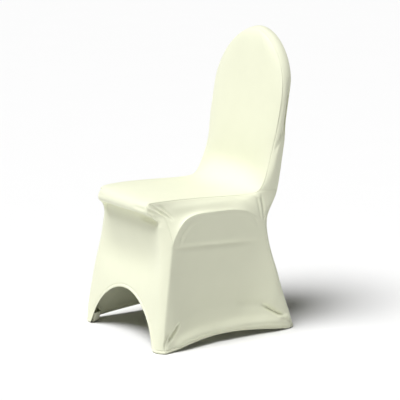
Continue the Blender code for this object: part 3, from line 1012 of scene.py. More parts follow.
@dataclass(frozen=True)
class Relief:
    """Folds, seams and hems that are pressed into the smooth cloth."""

    hem_width: float = 0.0075
    hem_swell: float = 0.0015
    hem_groove: float = 0.0012
    groove_width: float = 0.0018
    seam_groove: float = 0.0008
    seam_width: float = 0.0014
    foot_rounding: float = 0.006
    unevenness: float = 0.0004
    line_step: float = 0.0005
    waves: tuple[tuple[int, int, int], ...] = ((31, 17, 9), (13, 41, 23), (53, 7, 37))
    wave_phase: float = 1.7
    folds: tuple[Fold, ...] = (
        # Under the cushion's right front corner, from the tuck up round the corner.
        Fold(0.0040, 0.0075, (
            (0.040, -0.258, 0.406), (0.118, -0.258, 0.409), (0.152, -0.236, 0.408), (0.172, -0.212, 0.400),
        )),
        Fold(-0.0018, 0.0050, ((0.070, -0.272, 0.425), (0.126, -0.262, 0.423), (0.150, -0.234, 0.404))),
        Fold(0.0040, 0.0052, (
            (0.075, -0.274, 0.436), (0.125, -0.267, 0.434), (0.142, -0.249, 0.425), (0.157, -0.222, 0.406),
        )),
        Fold(-0.0016, 0.0036, ((0.130, -0.260, 0.436), (0.146, -0.239, 0.428), (0.164, -0.208, 0.407))),
        Fold(0.0032, 0.0040, (
            (0.140, -0.247, 0.438), (0.154, -0.222, 0.422), (0.168, -0.201, 0.405), (0.177, -0.190, 0.393),
        )),
        Fold(-0.0016, 0.0034, ((0.146, -0.233, 0.439), (0.157, -0.214, 0.425), (0.171, -0.195, 0.406))),
        Fold(0.0030, 0.0038, (
            (0.146, -0.228, 0.447), (0.155, -0.212, 0.431), (0.168, -0.193, 0.410), (0.178, -0.184, 0.396),
        )),
        Fold(0.0010, 0.0120, ((0.080, -0.262, 0.456), (0.125, -0.235, 0.456), (0.145, -0.190, 0.455))),
        Fold(0.0065, 0.0100, (
            (0.040, -0.231, 0.397), (0.105, -0.232, 0.395), (0.148, -0.236, 0.392), (0.176, -0.224, 0.386),
        )),
        # The apron, hollow between the legs below the cushion.
        Fold(0.0180, 0.0720, (
            (-0.210, -0.240, 0.262), (-0.080, -0.245, 0.268), (0.060, -0.245, 0.272), (0.200, -0.240, 0.264),
        )),
        # Under the cushion's left front corner.
        Fold(0.0034, 0.0085, (
            (-0.050, -0.258, 0.406), (-0.122, -0.257, 0.409),
            (-0.156, -0.234, 0.407), (-0.176, -0.209, 0.398),
        )),
        Fold(0.0022, 0.0052, (
            (-0.075, -0.273, 0.436), (-0.124, -0.266, 0.434),
            (-0.152, -0.242, 0.422), (-0.166, -0.218, 0.406),
        )),
        Fold(0.0018, 0.0045, ((-0.128, -0.258, 0.447), (-0.150, -0.230, 0.436), (-0.168, -0.194, 0.413))),
        # Where seat, backrest and side cloth meet, right and left.
        Fold(0.0034, 0.0050, (
            (0.176, 0.136, 0.442), (0.181, 0.135, 0.425), (0.188, 0.136, 0.402), (0.198, 0.136, 0.350),
        )),
        Fold(-0.0016, 0.0040, ((0.170, 0.110, 0.438), (0.181, 0.127, 0.425), (0.192, 0.129, 0.385))),
        Fold(0.0024, 0.0045, (
            (0.171, 0.104, 0.438), (0.180, 0.119, 0.424), (0.189, 0.121, 0.396), (0.199, 0.123, 0.352),
        )),
        Fold(0.0012, 0.0080, ((0.158, 0.040, 0.441), (0.172, 0.085, 0.432), (0.186, 0.108, 0.408))),
        Fold(0.0028, 0.0055, ((-0.177, 0.132, 0.440), (-0.183, 0.132, 0.421), (-0.197, 0.134, 0.352))),
        Fold(0.0020, 0.0050, ((-0.170, 0.100, 0.438), (-0.181, 0.117, 0.420), (-0.198, 0.121, 0.358))),
        # Along the side of the seat, and across the side cloth inside its frame arch.
        Fold(-0.0050, 0.0170, (
            (0.152, -0.215, 0.438), (0.164, -0.180, 0.432), (0.170, -0.110, 0.432), (0.172, 0.040, 0.424),
        )),
        Fold(0.0165, 0.0900, ((0.205, -0.240, 0.245), (0.205, -0.030, 0.240), (0.206, 0.190, 0.220))),
        Fold(0.0180, 0.0600, ((0.212, -0.230, 0.110), (0.203, -0.020, 0.112), (0.212, 0.170, 0.106))),
        Fold(0.0034, 0.0095, ((0.203, -0.250, 0.320), (0.201, -0.055, 0.306), (0.202, 0.150, 0.292))),
        Fold(0.0018, 0.0042, (
            (0.203, -0.188, 0.312), (0.199, -0.168, 0.360), (0.197, -0.141, 0.384), (0.196, -0.096, 0.396),
        )),
        Fold(-0.0014, 0.0040, (
            (0.203, -0.178, 0.316), (0.200, -0.159, 0.352), (0.198, -0.134, 0.374), (0.197, -0.094, 0.386),
        )),
        Fold(0.0010, 0.0050, ((0.196, -0.110, 0.400), (0.196, -0.030, 0.400), (0.196, 0.040, 0.397))),
        Fold(0.0017, 0.0042, (
            (0.196, 0.020, 0.398), (0.197, 0.070, 0.389), (0.199, 0.100, 0.368), (0.202, 0.117, 0.330),
        )),
        Fold(-0.0013, 0.0040, (
            (0.197, 0.010, 0.389), (0.198, 0.060, 0.379), (0.200, 0.089, 0.359), (0.203, 0.105, 0.326),
        )),
        Fold(0.0115, 0.0900, ((-0.205, -0.235, 0.245), (-0.205, -0.020, 0.240), (-0.206, 0.190, 0.225))),
        Fold(0.0024, 0.0110, ((-0.203, -0.180, 0.308), (-0.201, -0.040, 0.300), (-0.202, 0.090, 0.304))),
        # Sides of the backrest, where the back panel wraps round the padding.
        Fold(0.0085, 0.0105, (
            (0.181, 0.248, 0.800), (0.182, 0.244, 0.745), (0.183, 0.237, 0.690), (0.183, 0.228, 0.640),
            (0.181, 0.214, 0.595),
        )),
        Fold(0.0020, 0.0032, (
            (0.176, 0.222, 0.785), (0.180, 0.212, 0.713), (0.181, 0.199, 0.655), (0.180, 0.190, 0.622),
        )),
        Fold(0.0060, 0.0050, (
            (0.182, 0.218, 0.645), (0.182, 0.209, 0.612), (0.181, 0.198, 0.590), (0.177, 0.186, 0.562),
        )),
        Fold(0.0024, 0.0068, ((-0.181, 0.224, 0.770), (-0.183, 0.212, 0.715), (-0.183, 0.195, 0.640))),
        # At the feet, drawn toward the hem's corners.
        Fold(0.0110, 0.0058, (
            (0.223, -0.242, 0.034), (0.222, -0.228, 0.050), (0.221, -0.214, 0.064), (0.219, -0.188, 0.090),
        )),
        Fold(0.0026, 0.0042, ((0.225, -0.266, 0.004), (0.223, -0.248, 0.026), (0.221, -0.226, 0.052))),
        Fold(0.0060, 0.0045, (
            (0.224, -0.262, 0.014), (0.223, -0.254, 0.032), (0.221, -0.245, 0.052), (0.219, -0.236, 0.072),
        )),
        Fold(-0.0125, 0.0145, (
            (0.224, -0.226, 0.010), (0.222, -0.190, 0.030), (0.215, -0.140, 0.038), (0.205, -0.060, 0.042),
        )),
        Fold(0.0050, 0.0160, ((0.206, 0.020, 0.098), (0.214, 0.110, 0.090), (0.220, 0.175, 0.058))),
        Fold(-0.0160, 0.0165, (
            (0.207, -0.120, 0.040), (0.211, 0.050, 0.042), (0.217, 0.130, 0.038), (0.222, 0.185, 0.026),
            (0.225, 0.235, 0.004),
        )),
        Fold(0.0115, 0.0062, (
            (0.216, 0.118, 0.093), (0.219, 0.150, 0.071), (0.221, 0.186, 0.048), (0.223, 0.208, 0.036),
        )),
        Fold(-0.0060, 0.0055, ((0.221, 0.165, 0.045), (0.222, 0.200, 0.043), (0.222, 0.228, 0.040))),
        Fold(0.0030, 0.0040, ((0.222, 0.178, 0.037), (0.223, 0.203, 0.030), (0.224, 0.228, 0.017))),
        Fold(0.0018, 0.0055, ((-0.224, -0.228, 0.014), (-0.220, -0.196, 0.046), (-0.213, -0.145, 0.078))),
        Fold(0.0022, 0.0060, ((-0.213, 0.130, 0.086), (-0.220, 0.176, 0.052), (-0.223, 0.214, 0.018))),
        # Across the rear below the seat, drawn from leg to leg.
        Fold(0.0018, 0.0120, ((-0.120, 0.170, 0.345), (0.010, 0.180, 0.331), (0.130, 0.168, 0.340))),
        Fold(0.0014, 0.0100, ((-0.175, 0.196, 0.110), (-0.120, 0.205, 0.075), (-0.060, 0.210, 0.056))),
        Fold(0.0015, 0.0100, ((0.178, 0.196, 0.116), (0.128, 0.204, 0.082), (0.070, 0.210, 0.058))),
    )

    def distances(self, points: np.ndarray, lines: Sequence[np.ndarray]) -> np.ndarray:
        """Distance of each point to the nearest of several lines.

        Args:
            points: Places to measure from.
            lines: Lines of points.

        Returns:
            One distance for each place.
        """
        samples = []
        for line in lines:
            for start, end in zip(line, line[1:]):
                count = max(1, math.ceil(np.linalg.norm(end - start) / self.line_step))
                samples.append(start + (end - start) * (np.arange(count) / count)[:, None])
            samples.append(line[-1:])
        places = np.concatenate(samples)
        tree = KDTree(len(places))
        for number, place in enumerate(places):
            tree.insert(place, number)
        tree.balance()
        return np.array([tree.find(point)[2] for point in points])

    @staticmethod
    def fold_depth(points: np.ndarray, fold: Fold) -> np.ndarray:
        """How deep a fold presses each point.

        Args:
            points: Cloth points.
            fold: The fold.

        Returns:
            Depth along the inward normal, below 0 for a ridge.
        """
        route = np.array(fold.route)
        lengths = np.linalg.norm(np.diff(route, axis=0), axis=1)
        starts = np.concatenate([[0.0], np.cumsum(lengths)])
        nearest = np.full(len(points), np.inf)
        share = np.zeros(len(points))
        for number, length in enumerate(lengths):
            run = route[number + 1] - route[number]
            along = np.clip((points - route[number]) @ run / length**2, 0.0, 1.0)
            away = np.linalg.norm(points - (route[number] + along[:, None] * run), axis=1)
            closer = away < nearest
            nearest[closer] = away[closer]
            share[closer] = (starts[number] + along[closer] * length) / starts[-1]
        fade = (1 - (2 * share - 1) ** 4) ** 2
        return fold.depth * np.exp(-((nearest / fold.width) ** 2)) * fade

    def press(self, points: np.ndarray, normals: np.ndarray) -> np.ndarray:
        """Press the folds and the slight unevenness of the cloth.

        Args:
            points: Cloth points.
            normals: Unit normals there.

        Returns:
            The moved points.
        """
        depth = sum(self.fold_depth(points, fold) for fold in self.folds)
        waves = np.zeros(len(points))
        for number, wave in enumerate(self.waves):
            waves += np.sin(points @ np.array(wave) + self.wave_phase * number)
        return points - normals * (depth + self.unevenness * waves / len(self.waves))[:, None]

    def finish_edges(
        self, points: np.ndarray, normals: np.ndarray, hem: np.ndarray, seam: np.ndarray
    ) -> np.ndarray:
        """Points with the rolled hems, the sunk seams and the rounded undersides of the feet.

        Args:
            points: Cloth points.
            normals: Unit normals there.
            hem: Distance of each point to the hem.
            seam: Distance of each point to the nearest seam.

        Returns:
            The moved points.
        """
        roll = np.clip(1 - (2 * hem / self.hem_width - 1) ** 2, 0, 1) ** 0.5
        groove = np.exp(-(((hem - self.hem_width - self.groove_width) / self.groove_width) ** 2))
        sunk = np.exp(-((seam / self.seam_width) ** 2))
        rise = self.hem_swell * roll - self.hem_groove * groove - self.seam_groove * sunk
        low = np.clip(self.foot_rounding - points[:, 2], 0, self.foot_rounding)
        inset = self.foot_rounding - np.sqrt(self.foot_rounding**2 - low**2)
        level = normals * np.array([1.0, 1.0, 0.0])
        return points + normals * rise[:, None] - level * inset[:, None]


@dataclass
class FineCloth:
    """Fine points of every patch, shared along the seams. Its last eight fields are made by build."""

    membrane: Membrane
    relief: Relief
    up: tuple[Run, ...] = (
        Run(0, 0.5, 0.0625),
        Run(0.5, 3, 0.1),
        Run(3, 7.5, 0.18),
        Run(7.5, 16, 0.1),
        Run(16, 19, 0.08),
        Run(19, 22, 0.15),
        Run(22, 25, 0.08),
        Run(25, 31, 0.2),
        Run(31, 38, 0.2),
    )
    half: tuple[Run, ...] = (Run(0, 6, 0.2), Run(6, 9.6, 0.11), Run(9.6, 10, 0.05))
    across_strip: tuple[Run, ...] = (Run(0, 3, 0.1),)
    shift: float = field(init=False)
    points: np.ndarray = field(init=False)
    unit: np.ndarray = field(init=False)
    hem: np.ndarray = field(init=False)
    seam: np.ndarray = field(init=False)
    numbers: dict[str, np.ndarray] = field(init=False)
    lengths: dict[str, np.ndarray] = field(init=False)
    flips: dict[str, bool] = field(init=False)

    def build(self) -> None:
        """Make the points, the normals and the numbers of every patch."""
        steps, dense = self.membrane.coarse.steps, self.membrane.dense
        grids, self.shift = self.membrane.grids()
        up, strip = stops(self.up), stops(self.across_strip)
        half = stops(self.half)
        across = np.concatenate([steps.half_columns - half[:0:-1], steps.half_columns + half])
        lower, back = up[up <= steps.seat_start], up[up >= steps.back_start] - steps.back_start
        seat = up[(up >= steps.seat_start) & (up <= steps.back_start)] - steps.seat_start
        rear_up = np.concatenate([lower, back[1:] + steps.seat_start])
        crown = steps.back + (2 * steps.half_columns - across[::-1])[1:-1]
        end = 2 * steps.back + 2 * steps.half_columns
        round_back = np.concatenate([back, crown, end - back[::-1]])
        side_across = np.concatenate([seat, strip[1:] + steps.seat])
        side_down = steps.seat_start - lower[::-1]
        corner = (steps.back, steps.back + 2 * steps.half_columns)
        plans = {
            "front": (up, across, (steps.apron, steps.seat_start, steps.back_start), ()),
            "rear": (rear_up, across, (steps.apron, steps.seat_start), ()),
            "strip": (round_back, strip, corner, ()),
            "right": (side_down, side_across, (steps.cushion,), (steps.seat,)),
            "left": (side_down, side_across, (steps.cushion,), (steps.seat,)),
        }
        fine = {}
        for name, (rows, columns, row_breaks, column_breaks) in plans.items():
            tall = resample(grids[name], rows, row_breaks, dense)
            fine[name] = resample(tall.swapaxes(0, 1), columns, column_breaks, dense).swapaxes(0, 1)
        self.flips = {"front": False, "rear": True, "strip": False, "right": True, "left": False}
        self.points, self.numbers = numbered(fine)
        self.lengths = {name: self._lengths(grid) for name, grid in fine.items()}
        self._shape()

    @staticmethod
    def _lengths(grid: np.ndarray) -> np.ndarray:
        """Place of each point on the flat cloth.

        Args:
            grid: Fine grid of a patch.

        Returns:
            Mean length across and along up to each point.
        """
        across = np.linalg.norm(np.diff(grid, axis=1), axis=2).mean(axis=0)
        along = np.linalg.norm(np.diff(grid, axis=0), axis=2).mean(axis=1)
        place = np.zeros(grid.shape[:2] + (2,))
        place[..., 0] = np.concatenate([[0.0], np.cumsum(across)])
        place[..., 1] = np.concatenate([[0.0], np.cumsum(along)])[:, None]
        return place

    def quads(self, name: str) -> np.ndarray:
        """Quads of a patch as point numbers."""
        return quads_of(self.numbers[name], self.flips[name])

    def normals(self) -> np.ndarray:
        """Outward directions of the cloth.

        Returns:
            Unit normal at each point.
        """
        quads = np.concatenate([self.quads(name) for name in self.numbers])
        corners = self.points[quads]
        faces = np.cross(corners[:, 2] - corners[:, 0], corners[:, 3] - corners[:, 1])
        total = np.zeros_like(self.points)
        for corner in range(4):
            np.add.at(total, quads[:, corner], faces)
        return total / np.maximum(np.linalg.norm(total, axis=1), SMALLEST_LENGTH)[:, None]

    def hem_lines(self) -> list[np.ndarray]:
        """Front, rear and side hems.

        Returns:
            A line of points for each hem.
        """
        numbers = self.numbers
        rows = (numbers["front"][0], numbers["rear"][0], numbers["right"][-1], numbers["left"][-1])
        return [self.points[row] for row in rows]

    def seam_lines(self) -> list[np.ndarray]:
        """Seams between two panels.

        Returns:
            A line of points for each seam.
        """
        front, strip = self.numbers["front"], self.numbers["strip"]
        lines = [front[:, 0], front[:, -1], front[-1], strip[0], strip[-1]]
        lines += [self.numbers[hand][:, -1] for hand in ("right", "left")]
        return [self.points[line] for line in lines]

    def _shape(self) -> None:
        """Press folds, hems and seams into the points."""
        self.points = self.relief.press(self.points, self.normals())
        self.hem = self.relief.distances(self.points, self.hem_lines())
        self.seam = self.relief.distances(self.points, self.seam_lines())
        self.points = self.relief.finish_edges(self.points, self.normals(), self.hem, self.seam)
        self.unit = self.normals()


def border_of(quads: np.ndarray, count: int) -> np.ndarray:
    """Edges that only one quad uses.

    Args:
        quads: Point numbers of each quad.
        count: Number of points.

    Returns:
        Pairs of point numbers, in the quad's direction.
    """
    edges = np.concatenate([quads[:, [k, (k + 1) % 4]] for k in range(4)])
    keys = edges[:, 0] * count + edges[:, 1]
    return edges[~np.isin(edges[:, 1] * count + edges[:, 0], keys)]


def make_mesh(
    name: str, points: np.ndarray, faces: list[list[int]], places: np.ndarray | None = None
) -> bpy.types.Object:
    """Smooth-shaded mesh object at the origin.

    Args:
        name: Name of the object and its mesh.
        points: Vertex places.
        faces: Vertex numbers of each face.
        places: Place on the flat cloth for each face corner, in metres.

    Returns:
        The object, linked to the scene.
    """
    mesh = bpy.data.meshes.new(name)
    mesh.from_pydata(points.tolist(), [], faces)
    if places is not None:
        layer = mesh.uv_layers.new(name="cloth")
        layer.data.foreach_set("uv", places.astype(np.float32).reshape(-1))
    mesh.shade_smooth()
    mesh.set_sharp_from_angle(angle=SHARP_ANGLE)
    made = bpy.data.objects.new(name, mesh)
    bpy.context.scene.collection.objects.link(made)
    return made


def ride_and_replace(piece: bpy.types.Object, node: str) -> None:
    """Let a piece stand for a node of the model.

    Args:
        piece: The piece, which rides with the cover.
        node: Node of the model that it replaces.
    """
    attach(piece, "root")
    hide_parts(node)


@dataclass(frozen=True)
class Panel:
    """One sewn panel of the cover, cut flat and stretched over the chair."""

    node: str
    patches: tuple[str, ...]
    flat: tuple[float, float]
    flat_area: float
    thickness: float = 0.0015
    hem_thickness: float = 0.0030
    seam_gap: float = 0.0001
    hem_fade: float = 1.5

    def build(self, cloth: FineCloth) -> bpy.types.Object:
        """Closed thin shell of the panel.

        Args:
            cloth: The whole cloth.

        Returns:
            The panel's object.
        """
        quads = np.concatenate([cloth.quads(name) for name in self.patches])
        borders = border_of(quads, len(cloth.points))
        outer = cloth.points + self._setback(cloth, borders)
        share = np.clip(self.hem_fade * (1 - cloth.hem / cloth.relief.hem_width), 0, 1)
        depth = self.thickness + (self.hem_thickness - self.thickness) * share
        inner = outer - cloth.unit * depth[:, None]
        used, local = np.unique(quads, return_inverse=True)
        local = local.reshape(quads.shape)
        count = len(used)
        lookup = np.zeros(len(cloth.points), dtype=int)
        lookup[used] = np.arange(count)
        start, end = lookup[borders[:, 0]], lookup[borders[:, 1]]
        rim = np.stack([end, start, start + count, end + count], axis=1)
        faces = np.concatenate([local, local[:, ::-1] + count, rim])
        places = self._places(cloth)
        by_point = np.zeros((len(cloth.points), 2))
        by_point[quads.reshape(-1)] = places.reshape(-1, 2)
        rim_places = by_point[borders[:, [1, 0, 0, 1]]]
        corners = np.concatenate([places, places[:, ::-1], rim_places])
        points = np.concatenate([outer[used], inner[used]])
        return make_mesh(self.node + "_cloth", points, faces.tolist(), corners)

    def _setback(self, cloth: FineCloth, borders: np.ndarray) -> np.ndarray:
        """Shift of the border points into the panel, which parts the panels at the seams.

        Args:
            cloth: The whole cloth.
            borders: Border edges of the panel, as pairs of point numbers.

        Returns:
            The shift of each cloth point.
        """
        shift = np.zeros_like(cloth.points)
        run = cloth.points[borders[:, 1]] - cloth.points[borders[:, 0]]
        inward = np.cross(cloth.unit[borders[:, 0]], run)
        inward /= np.maximum(np.linalg.norm(inward, axis=1), SMALLEST_LENGTH)[:, None]
        np.add.at(shift, borders[:, 0], inward)
        np.add.at(shift, borders[:, 1], inward)
        length = np.linalg.norm(shift, axis=1)
        return shift * (self.seam_gap / np.maximum(length, 1.0))[:, None]

    def _places(self, cloth: FineCloth) -> np.ndarray:
        """Places of the panel's quads on the flat cloth.

        Args:
            cloth: The whole cloth.

        Returns:
            Place of each corner of each quad.
        """
        found = []
        for name in self.patches:
            lengths = cloth.lengths[name]
            at = np.arange(lengths.shape[0] * lengths.shape[1]).reshape(lengths.shape[:2])
            found.append(lengths.reshape(-1, 2)[quads_of(at, cloth.flips[name])])
        return np.concatenate(found)

    def dress(
        self, piece: bpy.types.Object, finish: bpy.types.Material, sewing: Sequence[bpy.types.Object]
    ) -> None:
        """Args:
            piece: The panel's object.
            finish: The knit.
            sewing: Rows of stitches that move with the panel; not used.
        """
        piece.data.materials.append(finish)
        ride_and_replace(piece, self.node)


class PocketSize(NamedTuple):
    """Radius of the corner that a pocket fills, and the edge of its flat cloth."""

    corner: float
    flat: float


POCKET_SIZES = {End.FRONT: PocketSize(0.047, 0.086), End.REAR: PocketSize(0.033, 0.072)}


@dataclass(frozen=True)
class FootPocket:
    """Sewn cup in a bottom corner, which holds a foot of the chair."""

    end: End
    hand: Hand
    height: float = 0.032
    cloth: float = 0.0015
    panel_cloth: float = 0.0085
    gap: float = 0.0007
    leg_space: float = 0.024
    arc_steps: int = 14
    chord_steps: int = 22
    rounding: float = 0.006
    rounding_steps: int = 5
    wall_steps: int = 10
    floor_share: float = 1.5
    end_limit: float = 0.5
    chord_power: float = 0.9
    cut_share: float = 0.55

    @property
    def size(self) -> PocketSize:
        """Sizes of the pocket."""
        return POCKET_SIZES[self.end]

    @property
    def node(self) -> str:
        """Name of the model's node for this pocket."""
        return f"foot_pocket_{self.end.value}_{self.hand.name.lower()}"

    def _outline(self, legs: LegFrame, height: float, inset: float) -> np.ndarray:
        """Closed outline of the pocket at a height.

        Args:
            legs: Legs of the chair.
            height: Height above the floor.
            inset: How far the outline is drawn in.

        Returns:
            Points round the outline, along X and Y.
        """
        if self.end is End.FRONT:
            face, toward = legs.front_y(height), -1
        else:
            face, toward = read(legs.legs, "rear_edge", height), 1
        corner = self.size.corner
        centre = np.array([legs.side_x(height) - corner, face - toward * corner])
        outer = corner - self.panel_cloth - self.gap - inset
        end_turn = math.asin(min(inset / outer, self.end_limit))
        shares = np.arange(self.arc_steps + 1) / self.arc_steps
        turns = end_turn + shares * (math.pi / 2 - 2 * end_turn)
        points = [centre + outer * np.array([math.sin(turn), toward * math.cos(turn)]) for turn in turns]
        chord = points[0] - points[-1]
        inward = centre - (points[0] + points[-1]) / 2
        inward /= np.linalg.norm(inward)
        depth = self.leg_space - 2 * inset - outer * (1 - math.cos(math.pi / 4 - end_turn))
        for step in range(1, self.chord_steps):
            share = step / self.chord_steps
            bulge = depth * math.sin(math.pi * share) ** self.chord_power
            points.append(points[self.arc_steps] + chord * share + inward * bulge)
        outline = np.array(points)
        outline[:, 0] *= self.hand.value
        return outline

    def build(self, legs: LegFrame, shift_y: float) -> bpy.types.Object:
        """Open cup with a rounded underside.

        Args:
            legs: Legs of the chair.
            shift_y: Shift of the whole cover along Y.

        Returns:
            The pocket's object.
        """
        levels = [(0.0, self.rounding * self.floor_share)]
        for step in range(self.rounding_steps + 1):
            angle = math.pi / 2 * step / self.rounding_steps
            height = self.rounding * (1 - math.cos(angle))
            levels.append((height, self.rounding * (1 - math.sin(angle))))
        for step in range(1, self.wall_steps + 1):
            levels.append((mix(self.rounding, self.height, step / self.wall_steps), 0.0))
        rings = [(self._outline(legs, height, inset), height) for height, inset in levels]
        count = len(rings[0][0])
        points = np.concatenate([
            np.column_stack([ring[:, 0], ring[:, 1] + shift_y, np.full(count, height)])
            for ring, height in rings
        ])
        at = np.arange(len(points)).reshape(len(rings), count)
        at = np.concatenate([at, at[:, :1]], axis=1)
        flip = (self.hand is Hand.RIGHT) != (self.end is End.REAR)
        faces = quads_of(at, not flip).tolist()
        floor_face = at[0, :-1].tolist()
        faces.append(floor_face if not flip else floor_face[::-1])
        pocket = make_mesh(self.node + "_cloth", points, faces)
        wall = pocket.modifiers.new("cloth", "SOLIDIFY")
        wall.thickness = self.cloth
        wall.offset = -1.0
        return pocket

    def dress(self, piece: bpy.types.Object, finish: bpy.types.Material) -> None:
        """Args:
            piece: The pocket's object.
            finish: The pocket's knit, coarser than the cover's, with its colour darkened as painted shade.
        """
        piece.data.materials.append(finish)
        ride_and_replace(piece, self.node)


def read_along(at: np.ndarray, lengths: np.ndarray, values: np.ndarray) -> np.ndarray:
    """Vectors at several lengths along a line."""
    return np.stack([np.interp(at, lengths, values[:, axis]) for axis in range(3)], axis=1)


@dataclass(frozen=True)
class HemStitches:
    """Row of stitches that holds the turned hem of one panel."""

    name: str
    patch: str
    hem_row: int
    offset: float = 0.0088
    pitch: float = 0.0036
    length: float = 0.0026
    width: float = 0.0007
    lift: float = 0.00005
    sides: int = 6
    profile: tuple[tuple[float, float], ...] = (
        (-0.5, 0.3), (-0.3, 0.9), (0.0, 1.0), (0.3, 0.9), (0.5, 0.3),
    )

    def _line(self, cloth: FineCloth) -> tuple[np.ndarray, np.ndarray]:
        """Line along which the stitches lie.

        Args:
            cloth: The whole cloth.

        Returns:
            Points at one distance from the hem, and their normals.
        """
        numbers = cloth.numbers[self.patch]
        if self.hem_row < 0:
            numbers = numbers[::-1]
        places, normals = [], []
        for column in numbers.T:
            away = cloth.hem[column]
            over = int(np.argmax(away > self.offset))
            share = (self.offset - away[over - 1]) / (away[over] - away[over - 1])
            places.append(mix(cloth.points[column[over - 1]], cloth.points[column[over]], share))
            normals.append(mix(cloth.unit[column[over - 1]], cloth.unit[column[over]], share))
        return np.array(places), np.array(normals)

    def build(self, cloth: FineCloth) -> bpy.types.Object:
        """All stitches of the row as one mesh.

        Args:
            cloth: The whole cloth.

        Returns:
            The stitches' object.
        """
        line, normals = self._line(cloth)
        lengths = np.concatenate([[0.0], np.cumsum(np.linalg.norm(np.diff(line, axis=0), axis=1))])
        at = np.arange(self.pitch, lengths[-1] - self.pitch, self.pitch)
        middle = read_along(at, lengths, line)
        ahead = read_along(at + self.length / 2, lengths, line)
        up = read_along(at, lengths, normals)
        up /= np.linalg.norm(up, axis=1)[:, None]
        along = ahead - middle
        along /= np.linalg.norm(along, axis=1)[:, None]
        aside = np.cross(up, along)
        shape = []
        for share, girth in self.profile:
            for side in range(self.sides):
                angle = 2 * math.pi * side / self.sides
                shape.append((share * self.length, math.cos(angle) * girth, math.sin(angle) * girth))
        shape = np.array(shape)
        half = self.width / 2
        points = (
            middle[:, None] + up[:, None] * self.lift
            + along[:, None] * shape[None, :, :1]
            + aside[:, None] * shape[None, :, 1:2] * half
            + up[:, None] * shape[None, :, 2:] * half
        )
        ring = np.arange(len(shape)).reshape(-1, self.sides)
        ring = np.concatenate([ring, ring[:, :1]], axis=1)
        body = quads_of(ring, False)
        faces = []
        for number in range(len(middle)):
            start = number * len(shape)
            faces += (body + start).tolist()
            faces.append([start + self.sides - 1 - side for side in range(self.sides)])
            faces.append([start + len(shape) - self.sides + side for side in range(self.sides)])
        return make_mesh(self.name, points.reshape(-1, 3), faces)

    @staticmethod
    def dress(piece: bpy.types.Object, finish: bpy.types.Material) -> None:
        """Give the stitches their thread and let them ride with the cover.

        Args:
            piece: The stitches' object.
            finish: The thread.
        """
        piece.data.materials.append(finish)
        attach(piece, "root")


class Nodes:
    """A material's node tree while it is being filled."""

    def __init__(self, name: str) -> None:
        """Start a material that holds only its shader and output.

        Args:
            name: Name of the material.
        """
        self.material = bpy.data.materials.new(name)
        self.material.use_nodes = True
        self.tree = self.material.node_tree
        self.shader = self.tree.nodes["Principled BSDF"]

    def add(self, kind: str, **settings: object) -> bpy.types.Node:
        """Add a node.

        Args:
            kind: Type of shader node, without its prefix.
            settings: Properties and number inputs of the node, by name.

        Returns:
            The node.
        """
        node = self.tree.nodes.new("ShaderNode" + kind)
        for name, value in settings.items():
            if hasattr(node, name):
                setattr(node, name, value)
            else:
                node.inputs[name.replace("_", " ").title()].default_value = value
        return node

    def link(self, source: bpy.types.NodeSocket, target: bpy.types.NodeSocket) -> None:
        """Join two sockets."""
        self.tree.links.new(source, target)

    def set_shader(self, values: dict[str, float]) -> None:
        """Set number inputs of the shader by name."""
        for name, value in values.items():
            self.shader.inputs[name].default_value = value

    def noise(self, scale: float, detail: float = 2.0) -> bpy.types.NodeSocket:
        """Noise over the object's own coordinates.

        Args:
            scale: Specks in one metre.
            detail: Finer layers of the noise.

        Returns:
            The noise's value.
        """
        where = self.add("TexCoord")
        noise = self.add("TexNoise", scale=scale, detail=detail)
        self.link(where.outputs["Object"], noise.inputs["Vector"])
        return noise.outputs["Fac"]

    def weighted(
        self, first: bpy.types.NodeSocket, share: float, second: bpy.types.NodeSocket
    ) -> bpy.types.NodeSocket:
        """Sum of a share of one value and all of another.

        Args:
            first: Value of which a share is taken.
            share: The share.
            second: Value that is added whole.

        Returns:
            The sum.
        """
        total = self.add("Math", operation="MULTIPLY_ADD")
        self.link(first, total.inputs[0])
        total.inputs[1].default_value = share
        self.link(second, total.inputs[2])
        return total.outputs[0]

    def colour(
        self,
        share: bpy.types.NodeSocket,
        tone: Colour,
        colour: Colour,
        span: tuple[float, float] = (0.0, 1.0),
    ) -> None:
        """Colour the shader between two colours.

        Args:
            share: Value that chooses the place between the colours.
            tone: Colour at the low end.
            colour: Colour at the high end.
            span: Values at which the low and the high end are reached.
        """
        blend = self.add("ValToRGB")
        for element, position, value in zip(blend.color_ramp.elements, span, (tone, colour)):
            element.position = position
            element.color = (*value, 1.0)
        self.link(share, blend.inputs["Fac"])
        self.link(blend.outputs["Color"], self.shader.inputs["Base Color"])


